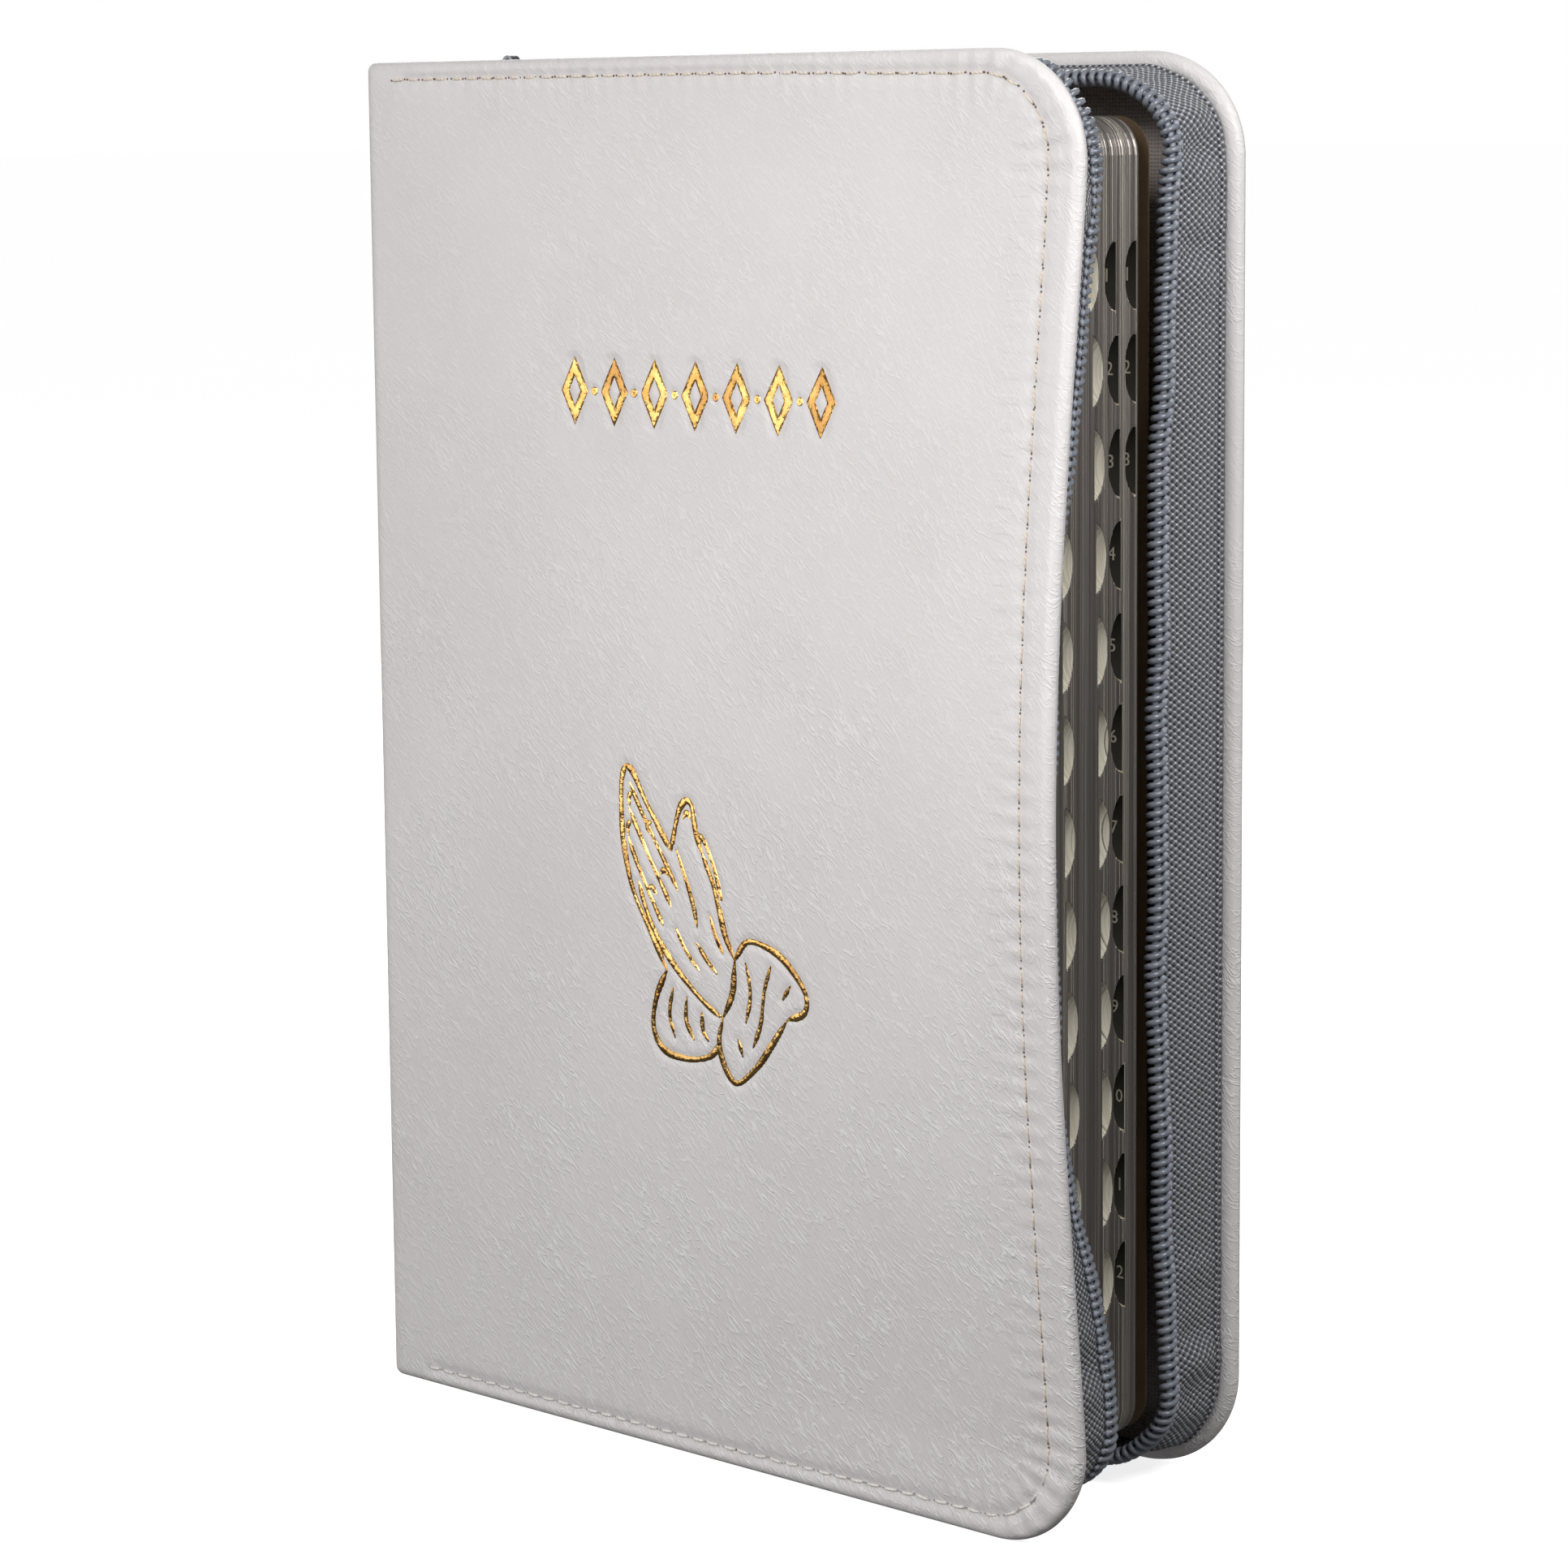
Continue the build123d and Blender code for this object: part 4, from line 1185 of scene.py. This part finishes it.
def make_pages(number):
    """One section of leaves: its fore edge shows leaf edges, and the thumb notches cut through them."""
    low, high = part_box(f"page_section_{number}")
    near, far = (low.y - CORNER[1]) / MM, (high.y - CORNER[1]) / MM
    lines = list(np.arange(near, far, 0.14)) + [far]
    for depth, _, _ in NOTCHES:
        if near < depth < far:
            lines += [depth - 0.004, depth + 0.004]
    ys = np.unique(np.round(lines, 4))
    ys = ys[np.concatenate([[True], np.diff(ys) > 0.003])]
    ends = edge_lines(PAGE_CORNER, 9)
    straight = np.arange(PAGE_LOW + 5.4, PAGE_HIGH - 5.2, 0.25)
    zs = np.concatenate([PAGE_LOW + ends, straight, PAGE_HIGH - ends[::-1]])
    y, z = np.meshgrid(ys, zs, indexing="ij")
    ragged = rng.normal(0, 0.035, len(ys))
    ragged[0] = ragged[-1] = 0
    reach, cut = page_reach(y, z, ragged[:, None])
    fore = np.stack([reach, y, z], -1).reshape(-1, 3)
    spine = np.stack([np.full(len(ys), BLOCK_SPINE), ys], -1)
    low_line = np.column_stack([spine, np.full(len(ys), PAGE_LOW)])
    high_line = np.column_stack([spine, np.full(len(ys), PAGE_HIGH)])
    rows, columns = y.shape
    count = rows * columns
    low_at, high_at = count, count + rows
    faces = [tuple(reversed(f)) for f in grid_faces(rows, columns)]
    for r in range(rows - 1):
        a, b = r * columns, (r + 1) * columns
        faces.append((a, b, low_at + r + 1, low_at + r))
        faces.append((b + columns - 1, a + columns - 1, high_at + r, high_at + r + 1))
        faces.append((low_at + r, low_at + r + 1, high_at + r + 1, high_at + r))
    first, last = range(columns), range((rows - 1) * columns, count)
    faces.append((low_at, *first, high_at))
    faces.append((low_at + rows - 1, *last, high_at + rows - 1)[::-1])
    points = np.vstack([fore, low_line, high_line])
    pages = make_object(f"pages_{number}", points, faces, GILT, smooth_faces=False)
    pages.data.materials.append(PAGE)
    for polygon in pages.data.polygons:
        if abs(polygon.normal[1]) > 0.9:
            polygon.material_index = 1
    values = np.concatenate([cut.ravel(), np.full(2 * rows, -1.0)])
    attribute = pages.data.attributes.new("cut", "FLOAT", "POINT")
    attribute.data.foreach_set("value", values.astype(np.float32))
    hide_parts(f"page_section_{number}")
    body = "spine" if number == 4 else f"pages_{number}"
    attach(pages, body)
    make_labels(number, near, far, body)


NUMERAL_SIZE = 2.5
NUMERAL_AT = 1.45               # from the fore edge to the middle of a numeral


def numeral(number):
    """A plain numeral as (across, up, raise) points and faces."""
    curve = bpy.data.curves.new("numeral", "FONT")
    curve.body = str(number)
    curve.size = NUMERAL_SIZE
    curve.align_x, curve.align_y = "CENTER", "CENTER"
    curve.resolution_u = 2
    curve.extrude = 0.02
    holder = bpy.data.objects.new("numeral", curve)
    mesh = bpy.data.meshes.new_from_object(holder)
    shape = bmesh.new()
    shape.from_mesh(mesh)
    bmesh.ops.remove_doubles(shape, verts=shape.verts, dist=0.001)
    shape.verts.index_update()
    points = [tuple(v.co) for v in shape.verts]
    faces = [tuple(v.index for v in face.verts) for face in shape.faces]
    shape.free()
    bpy.data.objects.remove(holder)
    bpy.data.curves.remove(curve)
    bpy.data.meshes.remove(mesh)
    return points, faces


def make_labels(number, near, far, body):
    """Black half-moon index labels with plain numerals, on the label pages of one section."""
    labels, marks = [], []
    for depth, height, slope in NOTCHES:
        if not near < depth < far:
            continue
        edge = fore_edge(depth)
        radius = NOTCH_RADIUS - 0.2
        half = math.acos((NOTCH_RADIUS - NOTCH_DEPTH + 0.06) / radius)
        arc = np.linspace(math.pi - half, math.pi + half, 28)
        middle = edge + NOTCH_RADIUS - NOTCH_DEPTH
        outline = [(middle + radius * math.cos(a), height + radius * math.sin(a)) for a in arc]
        levels = (depth + slope * 0.02, depth + slope * 0.09)
        points = [np.array([px, level, pz]) for level in levels for px, pz in outline]
        size = len(outline)
        faces = grid_faces(2, size, close_columns=True)
        faces += [tuple(range(size))[::-1], tuple(range(size, 2 * size))]
        labels.append((points, faces))
        row = round((TOP_NOTCH - height) / NOTCH_PITCH)
        shape, shape_faces = numeral(row + 1)
        marks.append(([np.array([edge - NUMERAL_AT - slope * px, depth + slope * (0.1 + raised), height + pz])
                       for px, pz, raised in shape], shape_faces))
    label = make_object(f"labels_{number}", *joined(labels), LABEL, smooth_faces=False)
    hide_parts(f"index_labels_{number}")
    mark = make_object(f"label_marks_{number}", *joined(marks), MARK, smooth_faces=False)
    for piece in (label, mark):
        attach(piece, body)


# ------------------------------------------------------------------ materials of the CAD pieces that show
def dress(material, *nodes):
    for node in nodes:
        mesh = frame["nodes"][node].data
        mesh.materials.clear()
        mesh.materials.append(material)


dress(METAL, "zip_slider", "pull_tab")
dress(SHADED_ENDPAPER, "front_flyleaf", "rear_flyleaf")
dress(LINING, "spine_lining")
dress(MULL, "spine_mull")
dress(HEADBAND, "headband_top", "headband_bottom")

# ------------------------------------------------------------------ build
make_cover_leather(
    "front", on_front,
    spaced((JOINT_AT, 37.0, 0.7), (37.0, 91.0, 0.45), (91.0, W - 6.0, 0.7)),
    spaced((6.0, 50.0, 0.7), (50.0, 102.0, 0.45), (102.0, 140.5, 0.8),
           (140.5, 153.5, 0.45), (153.5, H - 6.0, 0.7)),
    front_relief,
)
make_cover_leather(
    "back", on_back, spaced((JOINT_AT, W - 6.0, 1.0)), spaced((6.0, H - 6.0, 1.0)), seam_relief,
)
make_lining("front", on_front, 3.0)
make_lining("back", on_back, 3.0)
make_stitching("front", on_front)
make_stitching("back", on_back)
make_foil("foil_band", ORNAMENT, "foil_ornament")
make_foil("foil_praying_hands", HANDS, "foil_hands")
make_spine()
make_zip("front", on_front, 4.6, 5.0, front_leans)
make_zip("back", on_back, 2.3, 32.0, back_leans)
for section in (1, 2, 3, 4):
    make_pages(section)


# ------------------------------------------------------------------ camera, floor and light
def aim(obj, target):
    obj.rotation_euler = (Vector(target) - obj.location).to_track_quat("-Z", "Y").to_euler()


YAW, PITCH, ROLL = math.radians(41.44), math.radians(7.5), math.radians(-0.52)
camera = bpy.data.objects.new("camera", bpy.data.cameras.new("camera"))
bpy.context.scene.collection.objects.link(camera)
camera.location = place((437.8, -407.4, 182.3))
camera.data.sensor_width = 36.0
camera.data.lens = 95.24
camera.data.shift_y = -0.07
forward = Vector((-math.sin(YAW) * math.cos(PITCH), math.cos(YAW) * math.cos(PITCH), -math.sin(PITCH)))
level = Vector((math.cos(YAW), math.sin(YAW), 0))
over = level.cross(forward)
right = level * math.cos(ROLL) + over * math.sin(ROLL)
upright = over * math.cos(ROLL) - level * math.sin(ROLL)
camera.rotation_euler = Matrix((right, upright, -forward)).transposed().to_euler()
bpy.context.scene.camera = camera


def make_floor():
    """Wide pale floor. It takes shadows, and throws no light back up at the book."""
    spread = 30000.0
    corners = [(-spread, -spread, 0.0), (spread, -spread, 0.0), (spread, spread, 0.0), (-spread, spread, 0.0)]
    n = Nodes("pale_floor")
    n.link(n.mix(n.noise(3.0, 3.0), srgb(250, 250, 250), srgb(246, 246, 246)), "Base Color")
    n.set(Roughness=0.9, Specular_IOR_Level=0.1, Emission_Color=(1.0, 1.0, 1.0, 1.0), Emission_Strength=0.8)
    floor = make_object("floor", corners, [(0, 1, 2, 3)], n.material)
    floor.visible_diffuse = False
    floor.visible_glossy = False


def area_light(name, spot, target, size, power):
    light = bpy.data.lights.new(name, "AREA")
    light.shape = "RECTANGLE"
    light.size, light.size_y = size
    light.energy = power
    obj = bpy.data.objects.new(name, light)
    bpy.context.scene.collection.objects.link(obj)
    obj.location = place(spot)
    aim(obj, place(target))


def make_world(above, below, card, card_way):
    """A white backdrop to look at. For light and reflections, the dim walls of a studio, with a white
    card that the foil mirrors; it ends a little below eye level."""
    world = bpy.data.worlds.new("studio")
    world.use_nodes = True
    tree = world.node_tree
    walls = tree.nodes["Background"]

    def add(kind, *sources, **settings):
        node = tree.nodes.new(kind)
        for key, value in settings.items():
            setattr(node, key, value)
        for socket, source in zip(node.inputs, sources):
            if hasattr(source, "is_linked"):
                tree.links.new(source, socket)
            elif source is not None:
                socket.default_value = source
        return node.outputs

    way = add("ShaderNodeTexCoord")["Generated"]
    height = add("ShaderNodeSeparateXYZ", way)["Z"]
    smoothly = {"interpolation_type": "SMOOTHSTEP"}
    wall = add("ShaderNodeMapRange", height, -0.15, 0.35, below, above, **smoothly)["Result"]
    facing = add("ShaderNodeVectorMath", way, card_way, operation="DOT_PRODUCT")["Value"]
    round_card = add("ShaderNodeMapRange", facing, 0.91, 0.975, 0.0, card, **smoothly)["Result"]
    cut_off = add("ShaderNodeMapRange", height, -0.25, -0.15, 0.0, 1.0, **smoothly)["Result"]
    lit = add("ShaderNodeMath", round_card, cut_off, wall, operation="MULTIPLY_ADD")[0]
    tree.links.new(lit, walls.inputs["Color"])
    backdrop = add("ShaderNodeBackground", (1.0, 1.0, 1.0, 1.0))[0]
    seen = add("ShaderNodeLightPath")["Is Camera Ray"]
    choice = add("ShaderNodeMixShader", seen, walls.outputs[0], backdrop)[0]
    tree.links.new(choice, tree.nodes["World Output"].inputs["Surface"])
    bpy.context.scene.world = world


make_floor()
MIDDLE = (60.0, 20.0, 96.0)
make_world(above=0.2, below=0.1, card=1.8, card_way=(-0.672, -0.733, -0.08))
area_light("key", (110.0, -220.0, 150.0), MIDDLE, (0.16, 0.16), 0.23)
area_light("high", (150.0, -600.0, 600.0), MIDDLE, (0.3, 0.3), 1.95)
area_light("side", (335.0, 0.0, 270.0), (130.0, 20.0, 100.0), (0.14, 0.14), 0.52)
area_light("back", (-450.0, 600.0, 350.0), MIDDLE, (0.5, 0.5), 2.0)
bpy.context.scene.view_settings.view_transform = "Standard"
